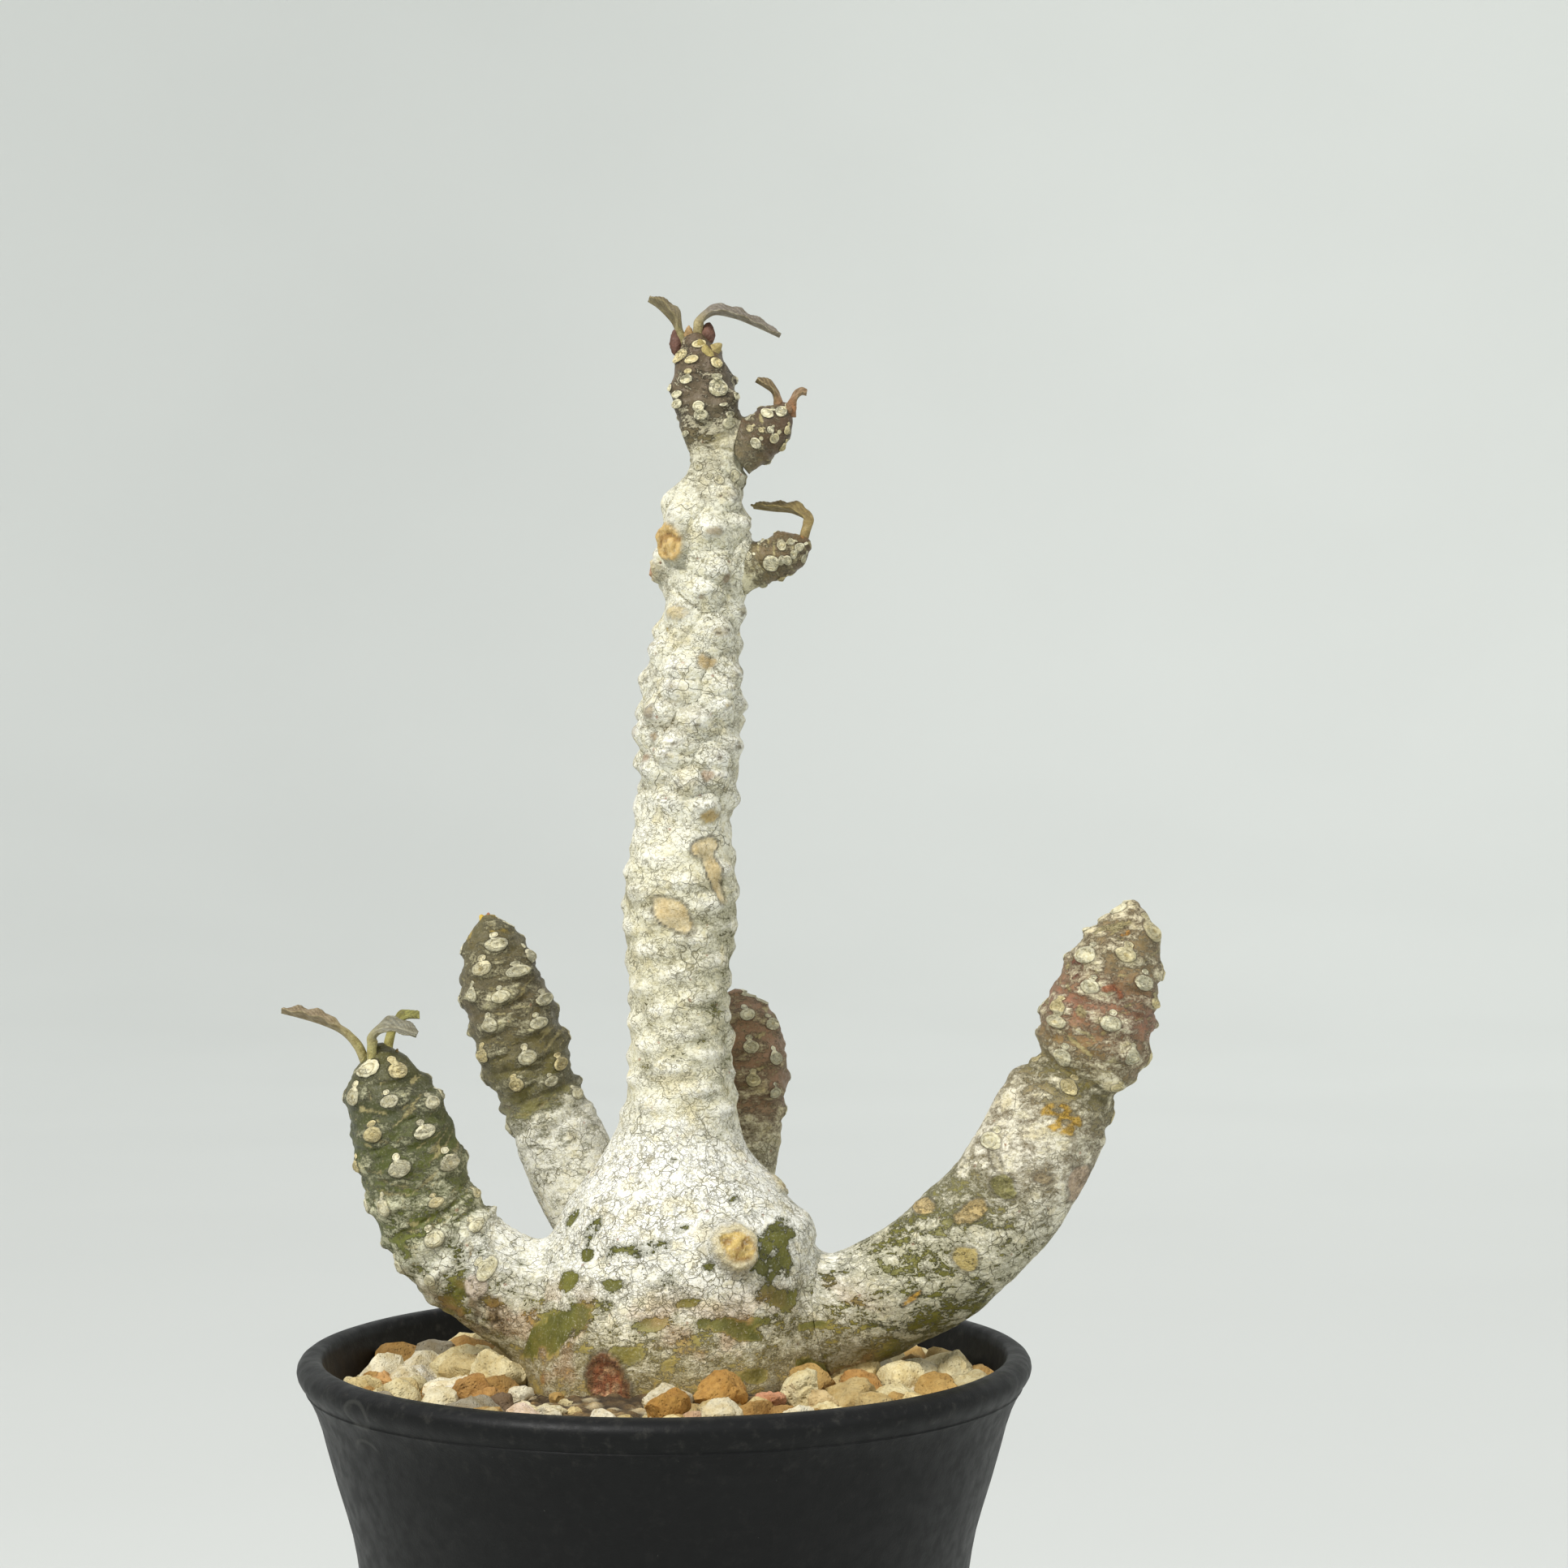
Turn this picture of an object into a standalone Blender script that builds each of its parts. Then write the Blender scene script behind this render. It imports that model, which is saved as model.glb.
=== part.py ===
"""Potted dorstenia: a black plastic pot, a plug of soil topped with small stones, and a bare, scarred caudex plant with
a tall trunk, four arms, two young shoots and eight small leaves. Lengths below are in millimetres unless said."""

import math
import random

import bmesh
import bpy
import numpy as np
from mathutils import Matrix, Vector

MM = 0.001
NAME = "potted_dorstenia"
CLEARANCE = 0.3

# Pot: the outer profile runs from the lip's crest down to the foot, the inner one from the floor back up to the lip.
POT_FLOOR = 5.0
POT_OUTER = (
    (48.2, 100.0),
    (49.6, 99.3),
    (50.0, 98.0),
    (48.8, 95.6),
    (47.4, 93.0),
    (45.9, 88.0),
    (42.8, 77.5),
    (41.4, 70.0),
    (37.4, 8.0),
    (36.2, 1.8),
    (34.4, 0.0),
)
POT_INNER = (
    (34.2, POT_FLOOR),
    (35.4, 6.6),
    (39.2, 70.0),
    (40.6, 77.5),
    (43.8, 88.4),
    (45.4, 93.6),
    (46.8, 99.7),
)
POT_STEPS = 52
DRAIN_RADIUS = 5.0
DRAIN_RING = 21.0
DRAIN_COUNT = 6

# Soil: a plug that rises from the wall to the plant, with stones set in its top by a seeded spiral rule.
SOIL_RIM_HEIGHT = 93.0
SOIL_RISE = 3.0
SOIL_RISE_REACH = 20.0
SOIL_RISE_FALL = 10.0
SOIL_STEPS = 32
STONE_COUNT = 104
STONE_SIZE = (2.5, 3.9)
STONE_RING = (21.8, 43.2)
STONE_WALL = 44.6
STONE_LIFT = 0.35
STONE_WIDTH = (0.75, 0.95)
STONE_THICKNESS = (0.6, 0.85)
STONE_CORNERS = (0.82, 1.12)
STONE_TIP = 0.6
STONE_SHIFT = 0.6
STONE_TURN = 0.05
SOIL_TILT = (0.025, -0.045)
STONE_SEED = 7
GOLDEN_ANGLE = math.radians(137.508)

# Stems: stations are x, y, z, radius and the number of rings from there to the next station.
TRUNK = (
    (2.0, 0.0, 82.0, 9.0, 1),
    (2.0, 0.0, 84.5, 15.0, 2),
    (2.0, 0.0, 90.0, 19.6, 2),
    (1.9, 0.0, 96.0, 20.9, 2),
    (1.9, 0.0, 102.0, 20.8, 2),
    (2.2, 0.0, 108.0, 19.4, 2),
    (2.4, 0.0, 113.4, 18.2, 2),
    (2.0, 0.0, 118.0, 16.4, 2),
    (1.9, 0.0, 122.3, 13.4, 2),
    (1.9, 0.0, 127.0, 9.7, 2),
    (2.1, 0.0, 132.0, 8.0, 2),
    (2.1, 0.0, 140.0, 7.1, 3),
    (1.8, 0.0, 151.0, 6.9, 3),
    (2.1, 0.0, 162.0, 7.7, 3),
    (2.5, 0.0, 172.0, 6.7, 3),
    (3.2, 0.0, 178.0, 7.0, 6),
    (3.5, 0.0, 187.5, 7.2, 6),
    (4.6, 0.0, 197.0, 6.0, 3),
    (5.1, 0.0, 201.8, 5.6, 3),
    (5.3, 0.0, 206.5, 6.2, 6),
    (5.6, 0.0, 214.5, 5.9, 4),
    (6.8, 0.0, 219.5, 4.1, 2),
    (7.0, 0.0, 222.2, 3.9, 2),
    (6.1, 0.0, 226.2, 4.3, 3),
    (5.2, 0.0, 231.0, 4.4, 3),
    (4.6, 0.0, 235.0, 3.4, 2),
    (3.9, 0.0, 237.6, 1.9, 1),
)
TRUNK_SIDES = 24
ARM_LEFT = (
    (-6.6, 0.0, 102.6, 8.6, 2),
    (-13.3, 0.0, 104.4, 8.4, 2),
    (-19.4, 0.0, 107.0, 7.6, 3),
    (-25.3, 0.0, 110.7, 7.4, 2),
    (-28.8, 0.0, 113.6, 7.4, 3),
    (-32.6, 0.0, 119.2, 7.3, 4),
    (-35.0, -0.3, 126.5, 7.1, 4),
    (-36.8, -0.5, 132.0, 6.6, 3),
    (-38.1, -0.7, 136.0, 5.4, 2),
    (-38.8, -0.8, 139.4, 3.4, 1),
    (-39.3, -0.8, 141.0, 1.4, 1),
)
ARM_RIGHT = (
    (13.5, -1.0, 103.6, 8.2, 2),
    (22.2, -1.5, 104.6, 8.0, 3),
    (30.0, -2.0, 107.6, 8.0, 3),
    (37.4, -2.0, 112.2, 8.2, 3),
    (43.2, -2.0, 117.2, 8.3, 3),
    (47.6, -2.0, 122.6, 8.4, 3),
    (51.0, -2.0, 128.6, 8.0, 2),
    (53.3, -2.0, 133.2, 7.1, 2),
    (55.8, -2.0, 137.0, 6.8, 2),
    (57.9, -2.0, 141.4, 7.6, 3),
    (59.4, -2.0, 146.6, 7.5, 3),
    (61.3, -2.0, 152.4, 6.3, 2),
    (62.8, -2.0, 156.4, 4.9, 2),
    (63.3, -2.0, 159.0, 3.0, 1),
    (63.5, -2.0, 160.6, 1.3, 1),
)
ARM_BACK_LEFT = (
    (-4.0, 11.0, 108.0, 6.4, 2),
    (-8.6, 15.6, 114.0, 6.4, 2),
    (-13.2, 18.6, 120.6, 6.4, 2),
    (-15.8, 19.8, 126.4, 6.3, 2),
    (-18.2, 20.0, 131.6, 5.8, 2),
    (-20.2, 20.0, 136.6, 6.4, 2),
    (-22.1, 20.0, 142.4, 6.4, 2),
    (-24.0, 20.0, 148.4, 6.0, 2),
    (-25.2, 20.0, 153.6, 4.5, 1),
    (-25.9, 20.0, 156.6, 2.7, 1),
    (-26.1, 20.0, 157.8, 1.2, 1),
)
ARM_BACK_RIGHT = (
    (4.0, 11.0, 108.0, 6.2, 2),
    (6.2, 15.4, 114.0, 6.4, 2),
    (8.2, 18.4, 120.0, 6.4, 2),
    (9.4, 19.8, 126.0, 6.1, 2),
    (10.0, 20.0, 131.0, 6.0, 2),
    (10.5, 20.0, 136.4, 6.4, 2),
    (10.3, 20.0, 141.4, 5.6, 1),
    (9.6, 20.0, 145.2, 3.7, 1),
    (9.3, 20.0, 147.0, 1.4, 1),
)
ARM_SIDES = 16
SHOOT_UPPER = (
    (9.6, -0.4, 221.6, 2.5, 1),
    (11.6, -0.4, 223.2, 3.1, 2),
    (13.8, -0.4, 225.2, 3.2, 2),
    (15.5, -0.4, 227.1, 2.4, 1),
    (16.5, -0.4, 228.4, 1.1, 1),
)
SHOOT_LOWER = (
    (9.6, -0.6, 205.6, 2.6, 1),
    (12.4, -0.6, 206.8, 2.8, 2),
    (15.4, -0.6, 208.1, 3.0, 2),
    (17.8, -0.6, 209.2, 2.6, 1),
    (19.2, -0.6, 209.9, 1.2, 1),
)
SHOOT_SIDES = 12

# Relief: leaf cushions lie on a golden-angle spiral and stand out from the bark; caudex lumps are slow waves.
# A cushion is a little wider than it is high.
CUSHION_NARROW = 0.8
CUSHION_FLAT = 1.25
CUSHION_FROM = 171.0
CUSHION_PITCH = 0.86
CUSHION_REACH = 3.9
CUSHION_HEIGHT = 0.75
ARM_CUSHION_FROM = 22.0
ARM_CUSHION_PITCH = 0.85
ARM_CUSHION_REACH = 3.4
ARM_CUSHION_HEIGHT = 0.5
SHOOT_CUSHION_PITCH = 0.8
SHOOT_CUSHION_REACH = 2.4
SHOOT_CUSHION_HEIGHT = 0.4
SHOOT_FULL_RADIUS = 3.0
SHOOT_SCARS_FROM = 3.6
SHOOT_SCAR_SIZE = 0.75
CUSHION_RISE = 4.0
CUSHION_SINK = 0.6
CUSHION_FULL_RADIUS = 5.0
ARM_CUSHION_RISE = 8.0
ARM_CUSHION_SINK = 0.5
LUMP = 0.35
LUMP_WAVE = 7.0
LUMP_RIPPLE = 3.1
LUMP_FULL_RADIUS = 14.0
ARM_LUMP = 0.17
ARM_LUMP_WAVE = 4.0
TIP_RISE = 0.35
FOOT_DROP = 0.2

# Scars and stubs: height along the stem, angle from the viewer's side, half width, half height and how far it stands.
TRUNK_MARKS = (
    (209.4, -44.0, 2.2, 2.3, 1.1),
    (206.0, -92.0, 1.4, 1.6, 1.3),
    (115.4, 24.0, 2.7, 2.5, 2.6),
    (122.6, 84.0, 1.5, 1.4, 0.9),
    (98.7, -24.5, 2.4, 3.2, 0.5),
    (231.0, 12.0, 1.3, 1.2, 0.5),
    (235.4, -34.0, 1.3, 1.2, 0.5),
    (229.6, -42.0, 1.0, 0.8, 0.4),
    (228.0, 46.0, 0.9, 1.0, 0.4),
    (226.4, -8.0, 1.1, 1.0, 0.4),
    (232.6, 66.0, 1.0, 1.0, 0.4),
    (231.4, -88.0, 0.9, 1.0, 0.4),
    (229.0, 120.0, 1.1, 1.0, 0.4),
    (232.6, 168.0, 1.2, 1.0, 0.4),
    (228.4, 214.0, 1.1, 1.0, 0.4),
    (237.2, 20.0, 0.9, 0.8, 0.6),
)
LOW_MARK = 110.0
SCAR_SIZE = 1.05
SCAR_STAND = 0.35
SCAR_SIDES = 6
STUB_SIDES = 10
STUB_FROM = 1.5
SCAR_ROOT = 0.9
SCAR_DISH = 0.2

# Leaves: each has a spine of x, y, z, half width of the blade there, and how far it has turned from petiole to blade.
LEAF_THICKNESS = 0.62
PETIOLE_RADIUS = 0.75
MIDRIB_DEPTH = 0.25
WAVES_PER_MM = 2.4
LEAF_STEPS = 2
LEAVES = {
    "leaf_top_left": {
        "spine": (
            (2.9, 0.4, 236.6, 0.8, 0.0),
            (2.1, 0.4, 238.4, 0.8, 0.0),
            (1.3, 0.5, 240.1, 1.6, 0.8),
            (0.1, 0.6, 241.5, 2.4, 1.0),
            (-1.2, 0.7, 242.7, 1.9, 1.0),
            (-2.3, 0.8, 243.4, 0.8, 1.0),
        ),
        "up": (0.75, -0.25, 0.6),
        "fold": 32.0,
        "wave": 0.3,
        "stem": "trunk",
    },
    "leaf_top_right": {
        "spine": (
            (4.6, 0.0, 236.6, 0.8, 0.0),
            (4.4, 0.0, 238.6, 0.8, 0.0),
            (4.7, 0.0, 240.3, 1.2, 0.3),
            (6.4, 0.0, 241.4, 2.4, 1.0),
            (9.2, 0.1, 241.1, 2.8, 1.0),
            (12.4, 0.2, 239.9, 2.2, 1.0),
            (15.7, 0.3, 238.4, 0.7, 1.0),
        ),
        "up": (0.25, -0.28, 0.93),
        "fold": 16.0,
        "wave": 0.35,
        "stem": "trunk",
    },
    "leaf_shoot_upper_left": {
        "spine": (
            (15.2, -0.4, 227.2, 0.8, 0.0),
            (15.4, -0.4, 229.2, 0.7, 0.0),
            (14.8, -0.5, 230.6, 1.1, 0.9),
            (13.6, -0.6, 231.5, 1.5, 1.0),
            (12.4, -0.7, 232.2, 0.7, 1.0),
        ),
        "up": (0.5, -0.4, 0.8),
        "fold": 25.0,
        "wave": 0.2,
        "stem": "shoot_upper",
    },
    "leaf_shoot_upper_right": {
        "spine": (
            (17.2, -0.4, 227.2, 0.7, 0.0),
            (17.3, -0.4, 229.0, 0.7, 0.0),
            (17.9, -0.4, 230.0, 1.0, 0.9),
            (18.6, -0.4, 230.5, 1.1, 1.0),
            (19.3, -0.4, 230.4, 0.6, 1.0),
        ),
        "up": (-0.3, -0.4, 0.8),
        "fold": 20.0,
        "wave": 0.15,
        "stem": "shoot_upper",
    },
    "leaf_shoot_lower": {
        "spine": (
            (18.4, -0.6, 209.0, 0.8, 0.0),
            (19.1, -0.5, 211.4, 0.8, 0.0),
            (19.5, 0.0, 213.2, 1.0, 0.4),
            (17.6, 1.2, 214.4, 1.9, 1.0),
            (14.6, 2.8, 214.9, 2.0, 1.0),
            (12.0, 4.4, 215.4, 0.9, 1.0),
        ),
        "up": (0.1, -0.3, 0.95),
        "fold": 24.0,
        "wave": 0.3,
        "stem": "shoot_lower",
    },
    "leaf_arm_long": {
        "spine": (
            (-40.6, -1.4, 138.6, 0.9, 0.0),
            (-41.9, -1.5, 141.6, 0.9, 0.0),
            (-43.6, -1.5, 143.3, 1.2, 0.4),
            (-46.6, -1.5, 144.6, 2.2, 1.0),
            (-49.5, -1.5, 145.5, 2.0, 1.0),
            (-52.2, -1.5, 146.2, 0.9, 1.0),
        ),
        "up": (0.2, -0.1, 0.95),
        "fold": 26.0,
        "wave": 0.4,
        "stem": "arm_left",
    },
    "leaf_arm_grey": {
        "spine": (
            (-39.7, -2.6, 138.6, 0.8, 0.0),
            (-39.7, -3.1, 141.4, 0.8, 0.0),
            (-39.4, -3.3, 143.0, 1.6, 0.5),
            (-37.6, -3.4, 143.9, 2.9, 1.0),
            (-35.4, -3.4, 143.6, 2.6, 1.0),
            (-33.6, -3.4, 143.0, 1.1, 1.0),
        ),
        "up": (0.1, -0.55, 0.85),
        "fold": 8.0,
        "wave": 0.3,
        "stem": "arm_left",
    },
    "leaf_arm_green": {
        "spine": (
            (-38.0, 0.8, 138.8, 0.7, 0.0),
            (-38.0, 1.9, 141.8, 0.7, 0.0),
            (-37.2, 2.4, 143.9, 0.9, 0.5),
            (-35.8, 2.6, 145.0, 1.5, 1.0),
            (-33.9, 2.8, 145.1, 0.7, 1.0),
        ),
        "up": (-0.2, -0.45, 0.85),
        "fold": 22.0,
        "wave": 0.25,
        "stem": "arm_left",
    },
}


def clear_scene():
    for obj in list(bpy.data.objects):
        bpy.data.objects.remove(obj, do_unlink=True)


def collection(name, shown=True):
    group = bpy.data.collections.new(name)
    bpy.context.scene.collection.children.link(group)
    group.hide_render = not shown
    return group


def linear(channel):
    """The linear value of an 8-bit sRGB channel."""
    value = channel / 255.0
    return value / 12.92 if value <= 0.04045 else ((value + 0.055) / 1.055) ** 2.4


def material(name, colour, roughness):
    made = bpy.data.materials.new(name)
    made.use_nodes = True
    shader = made.node_tree.nodes["Principled BSDF"]
    shader.inputs["Base Color"].default_value = (*(linear(c) for c in colour), 1.0)
    shader.inputs["Roughness"].default_value = roughness
    shader.inputs["Metallic"].default_value = 0.0
    made.diffuse_color = shader.inputs["Base Color"].default_value
    return made


def place(name, mesh, group, skin=None):
    """An object of the mesh in the group, smooth where it is round."""
    obj = bpy.data.objects.new(name, mesh)
    group.objects.link(obj)
    if skin:
        mesh.materials.clear()
        mesh.materials.append(skin)
        mesh.shade_smooth()
        mesh.set_sharp_from_angle(angle=math.radians(50.0))
    else:
        obj.hide_render = True
        obj.display_type = "WIRE"
    return obj


def outward(mesh):
    """The mesh with its faces turned outward."""
    shape = bmesh.new()
    shape.from_mesh(mesh)
    bmesh.ops.recalc_face_normals(shape, faces=shape.faces[:])
    shape.to_mesh(mesh)
    shape.free()
    mesh.update()
    return mesh


def mesh_from(points, faces, name):
    """A mesh of points in millimetres, its faces turned outward."""
    mesh = bpy.data.meshes.new(name)
    mesh.from_pydata([tuple(MM * float(v) for v in p) for p in points], [], faces)
    return outward(mesh)


def apply_modifiers(obj):
    bpy.context.view_layer.update()
    graph = bpy.context.evaluated_depsgraph_get()
    mesh = bpy.data.meshes.new_from_object(obj.evaluated_get(graph))
    obj.modifiers.clear()
    obj.data = mesh


def combine(obj, group, operation):
    """One Boolean of the object and everything in the group, which is then emptied."""
    modifier = obj.modifiers.new(operation.lower(), "BOOLEAN")
    modifier.operation = operation
    modifier.solver = "EXACT"
    modifier.operand_type = "COLLECTION"
    modifier.collection = group
    apply_modifiers(obj)
    for used in list(group.objects):
        bpy.data.objects.remove(used, do_unlink=True)


def turned(profile, name, steps):
    """The profile, from axis to axis in millimetres, turned about Z by the Screw modifier."""
    mesh = bpy.data.meshes.new(name)
    edges = [(i, i + 1) for i in range(len(profile) - 1)]
    mesh.from_pydata([(MM * r, 0.0, MM * z) for r, z in profile], edges, [])
    obj = bpy.data.objects.new(name, mesh)
    bpy.context.scene.collection.objects.link(obj)
    screw = obj.modifiers.new("turn", "SCREW")
    screw.axis = "Z"
    screw.steps = steps
    screw.render_steps = steps
    screw.use_merge_vertices = True
    screw.merge_threshold = 0.00001
    apply_modifiers(obj)
    made = obj.data
    bpy.data.objects.remove(obj, do_unlink=True)
    return outward(made)


def smooth_path(stations):
    """Samples x, y, z, radius along a smooth line through the stations, with the arc length of each sample."""
    nodes = np.array([s[:4] for s in stations], dtype=float)
    gaps = np.linalg.norm(np.diff(nodes[:, :3], axis=0), axis=1)
    slopes = np.gradient(nodes, np.concatenate(([0.0], np.cumsum(gaps))), axis=0)
    samples = []
    for i, gap in enumerate(gaps):
        for k in range(stations[i][4]):
            t = k / stations[i][4]
            samples.append(
                (2 * t**3 - 3 * t**2 + 1) * nodes[i]
                + (t**3 - 2 * t**2 + t) * gap * slopes[i]
                + (3 * t**2 - 2 * t**3) * nodes[i + 1]
                + (t**3 - t**2) * gap * slopes[i + 1]
            )
    samples.append(nodes[-1])
    path = np.array(samples)
    lengths = np.linalg.norm(np.diff(path[:, :3], axis=0), axis=1)
    return path, np.concatenate(([0.0], np.cumsum(lengths)))


def frames(path):
    """For each sample the direction along the stem, the one toward the viewer (-Y) and the one across."""
    along = np.gradient(path[:, :3], axis=0)
    along /= np.linalg.norm(along, axis=1)[:, None]
    viewer = np.array([0.0, -1.0, 0.0])
    toward = viewer - (along @ viewer)[:, None] * along
    toward /= np.linalg.norm(toward, axis=1)[:, None]
    return along, toward, np.cross(along, toward)


def cushions(height, angle, radius, first, pitch, reach):
    """How far up a leaf cushion a point is, 0 to 1, for cushions that climb a golden-angle spiral."""
    low = max(0, math.floor((height - reach - first) / pitch))
    high = math.ceil((height + reach - first) / pitch)
    best = 1.0
    for index in range(low, high + 1):
        turn = (angle - index * GOLDEN_ANGLE + math.pi) % math.tau - math.pi
        climb = height - first - index * pitch
        best = min(best, math.hypot(turn * radius * CUSHION_NARROW, climb * CUSHION_FLAT) / reach)
    return 1.0 - best * best


def trunk_relief(height, angle, radius, arc):
    lumps = LUMP * math.sin(3.0 * angle + height / LUMP_WAVE) * math.sin(height / LUMP_RIPPLE + angle)
    if height < CUSHION_FROM:
        return lumps * min(1.0, radius / LUMP_FULL_RADIUS)
    rise = min(1.0, (height - CUSHION_FROM) / CUSHION_RISE) * min(1.0, radius / CUSHION_FULL_RADIUS)
    bulge = cushions(height, angle, radius, CUSHION_FROM, CUSHION_PITCH, CUSHION_REACH)
    return rise * CUSHION_HEIGHT * (bulge - CUSHION_SINK)


def arm_relief(height, angle, radius, arc):
    """Cushions on the younger part of an arm, and slow lumps before that."""
    if arc < ARM_CUSHION_FROM:
        return ARM_LUMP * math.sin(2.0 * angle + arc / ARM_LUMP_WAVE)
    rise = min(1.0, (arc - ARM_CUSHION_FROM) / ARM_CUSHION_RISE) * min(1.0, radius / CUSHION_FULL_RADIUS)
    bulge = cushions(arc, angle, radius, ARM_CUSHION_FROM, ARM_CUSHION_PITCH, ARM_CUSHION_REACH)
    return rise * ARM_CUSHION_HEIGHT * (bulge - ARM_CUSHION_SINK)


def shoot_relief(height, angle, radius, arc):
    bulge = cushions(arc, angle, radius, 0.0, SHOOT_CUSHION_PITCH, SHOOT_CUSHION_REACH)
    return SHOOT_CUSHION_HEIGHT * min(1.0, radius / SHOOT_FULL_RADIUS) * (bulge - ARM_CUSHION_SINK)


def tube(stations, sides, relief, grow=0.0):
    """A closed stem around the stations; grow makes it stand that much farther out on every side."""
    path, arcs = smooth_path(stations)
    along, toward, across = frames(path)
    points = []
    for centre, arc, forward, near, side in zip(path, arcs, along, toward, across):
        middle = centre[:3]
        if arc == 0.0:
            middle = middle - grow * forward
        if arc == arcs[-1]:
            middle = middle + grow * forward
        for k in range(sides):
            angle = math.tau * k / sides
            out = centre[3] + relief(centre[2], angle, centre[3], arc) + grow
            points.append(middle + out * (math.cos(angle) * near + math.sin(angle) * side))
    last = len(path) - 1
    points.append(path[0, :3] - (grow + FOOT_DROP) * along[0])
    points.append(path[-1, :3] + (grow + TIP_RISE * path[-1, 3]) * along[-1])
    faces = []
    for i in range(last):
        for k in range(sides):
            n = (k + 1) % sides
            faces.append((i * sides + k, i * sides + n, (i + 1) * sides + n, (i + 1) * sides + k))
    for k in range(sides):
        n = (k + 1) % sides
        faces.append((len(points) - 2, n, k))
        faces.append((len(points) - 1, last * sides + k, last * sides + n))
    return mesh_from(points, faces, "stem")


def mark(stations, relief, where, angle, half_width, half_height, stand, by_arc, grow=0.0):
    """A scar or stub: a low dished disc whose root is sunk in the stem."""
    half_width, half_height, stand = half_width + grow, half_height + grow, stand + grow
    path, arcs = smooth_path(stations)
    along, toward, across = frames(path)
    key = arcs if by_arc else path[:, 2]
    i = int(np.argmin(np.abs(key - where)))
    turn = math.radians(angle)
    out = math.cos(turn) * toward[i] + math.sin(turn) * across[i]
    radius = path[i, 3] + relief(path[i, 2], turn % math.tau, path[i, 3], arcs[i])
    foot = path[i, :3] + radius * out + (where - key[i]) * along[i]
    side = np.cross(along[i], out)
    sides = STUB_SIDES if half_width > STUB_FROM + grow else SCAR_SIDES
    points = []
    for depth, scale in ((-SCAR_ROOT, 1.0), (stand, 0.85)):
        for k in range(sides):
            a = math.tau * k / sides
            points.append(
                foot
                + depth * out
                + scale * (half_width * math.cos(a) * side + half_height * math.sin(a) * along[i])
            )
    points.append(foot - SCAR_ROOT * out)
    points.append(foot + (stand - SCAR_DISH) * out)
    faces = []
    for k in range(sides):
        n = (k + 1) % sides
        faces.append((k, n, sides + n, sides + k))
        faces.append((len(points) - 2, n, k))
        faces.append((len(points) - 1, sides + k, sides + n))
    return mesh_from(points, faces, "mark")


def spiral_marks(stations, first, pitch, start, size):
    """Leaf scars on the cushions' own spiral from arc length start on, each a little above its cushion's middle."""
    length = smooth_path(stations)[1][-1]
    found = []
    index = 0
    while first + index * pitch < length - 1.5:
        where = first + index * pitch + 0.4 * size
        if where > start:
            found.append((where, math.degrees(index * GOLDEN_ANGLE), 1.15 * size, 0.85 * size, SCAR_STAND))
        index += 1
    return found


def arm_marks(stations, start):
    return spiral_marks(stations, ARM_CUSHION_FROM, ARM_CUSHION_PITCH, start, SCAR_SIZE)


def stem(name, stations, sides, relief, marks, skin, group, by_arc=True):
    obj = place(name, tube(stations, sides, relief), group, skin)
    if marks:
        repeats = collection("marks", shown=False)
        for entry in marks:
            place("mark", mark(stations, relief, *entry, by_arc), repeats)
        combine(obj, repeats, "UNION")
        bpy.data.collections.remove(repeats)
    return obj


def clear_of(obj, cutters):
    """Cuts the object back by the clearance from each grown stem mesh."""
    group = collection("cutters", shown=False)
    for mesh in cutters:
        place("cutter", mesh, group)
    combine(obj, group, "DIFFERENCE")
    bpy.data.collections.remove(group)


def leaf(spec):
    """A petiole that opens into a folded blade with waved edges, one loft of ten-point rings."""
    spine = [(*p[:4], LEAF_STEPS) for p in spec["spine"]]
    path, arcs = smooth_path(spine)
    places = np.arange(len(spine)) * LEAF_STEPS
    blade = np.interp(np.arange(len(path)), places, [p[4] for p in spec["spine"]])
    along = np.gradient(path[:, :3], axis=0)
    along /= np.linalg.norm(along, axis=1)[:, None]
    up = np.array(spec["up"]) / np.linalg.norm(spec["up"])
    fold = math.radians(spec["fold"])
    points = []
    for i, centre in enumerate(path):
        side = np.cross(along[i], up)
        side /= np.linalg.norm(side)
        top = np.cross(side, along[i])
        share = blade[i]
        for k in range(10):
            over = k < 5
            u = (k if over else 9 - k) / 2.0 - 1.0
            round_angle = math.pi * (0.9 - 0.2 * k)
            petiole = PETIOLE_RADIUS * np.array([math.cos(round_angle), math.sin(round_angle)])
            lift = abs(u) * centre[3] * math.sin(fold)
            lift += spec["wave"] * abs(u) * math.sin(WAVES_PER_MM * arcs[i] + 2.0 * u)
            face = 0.5 * LEAF_THICKNESS if over else -0.5 * LEAF_THICKNESS
            if not over and u == 0.0:
                face -= MIDRIB_DEPTH
            flat = np.array([u * centre[3] * math.cos(fold), lift + face])
            x, z = (1.0 - share) * petiole + share * flat
            points.append(centre[:3] + x * side + z * top)
    faces = []
    for i in range(len(path) - 1):
        for k in range(10):
            n = (k + 1) % 10
            a, b = 10 * i + k, 10 * i + n
            c, d = a + 10, b + 10
            faces += [(a, b, d), (a, d, c)] if k < 5 else [(a, b, c), (b, d, c)]
    end = 10 * (len(path) - 1)
    for k in range(4):
        a, b, c, d = k, k + 1, 8 - k, 9 - k
        faces += [(a, d, b), (b, d, c)]
        faces += [(end + a, end + b, end + d), (end + b, end + c, end + d)]
    return mesh_from(points, faces, "leaf")


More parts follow.
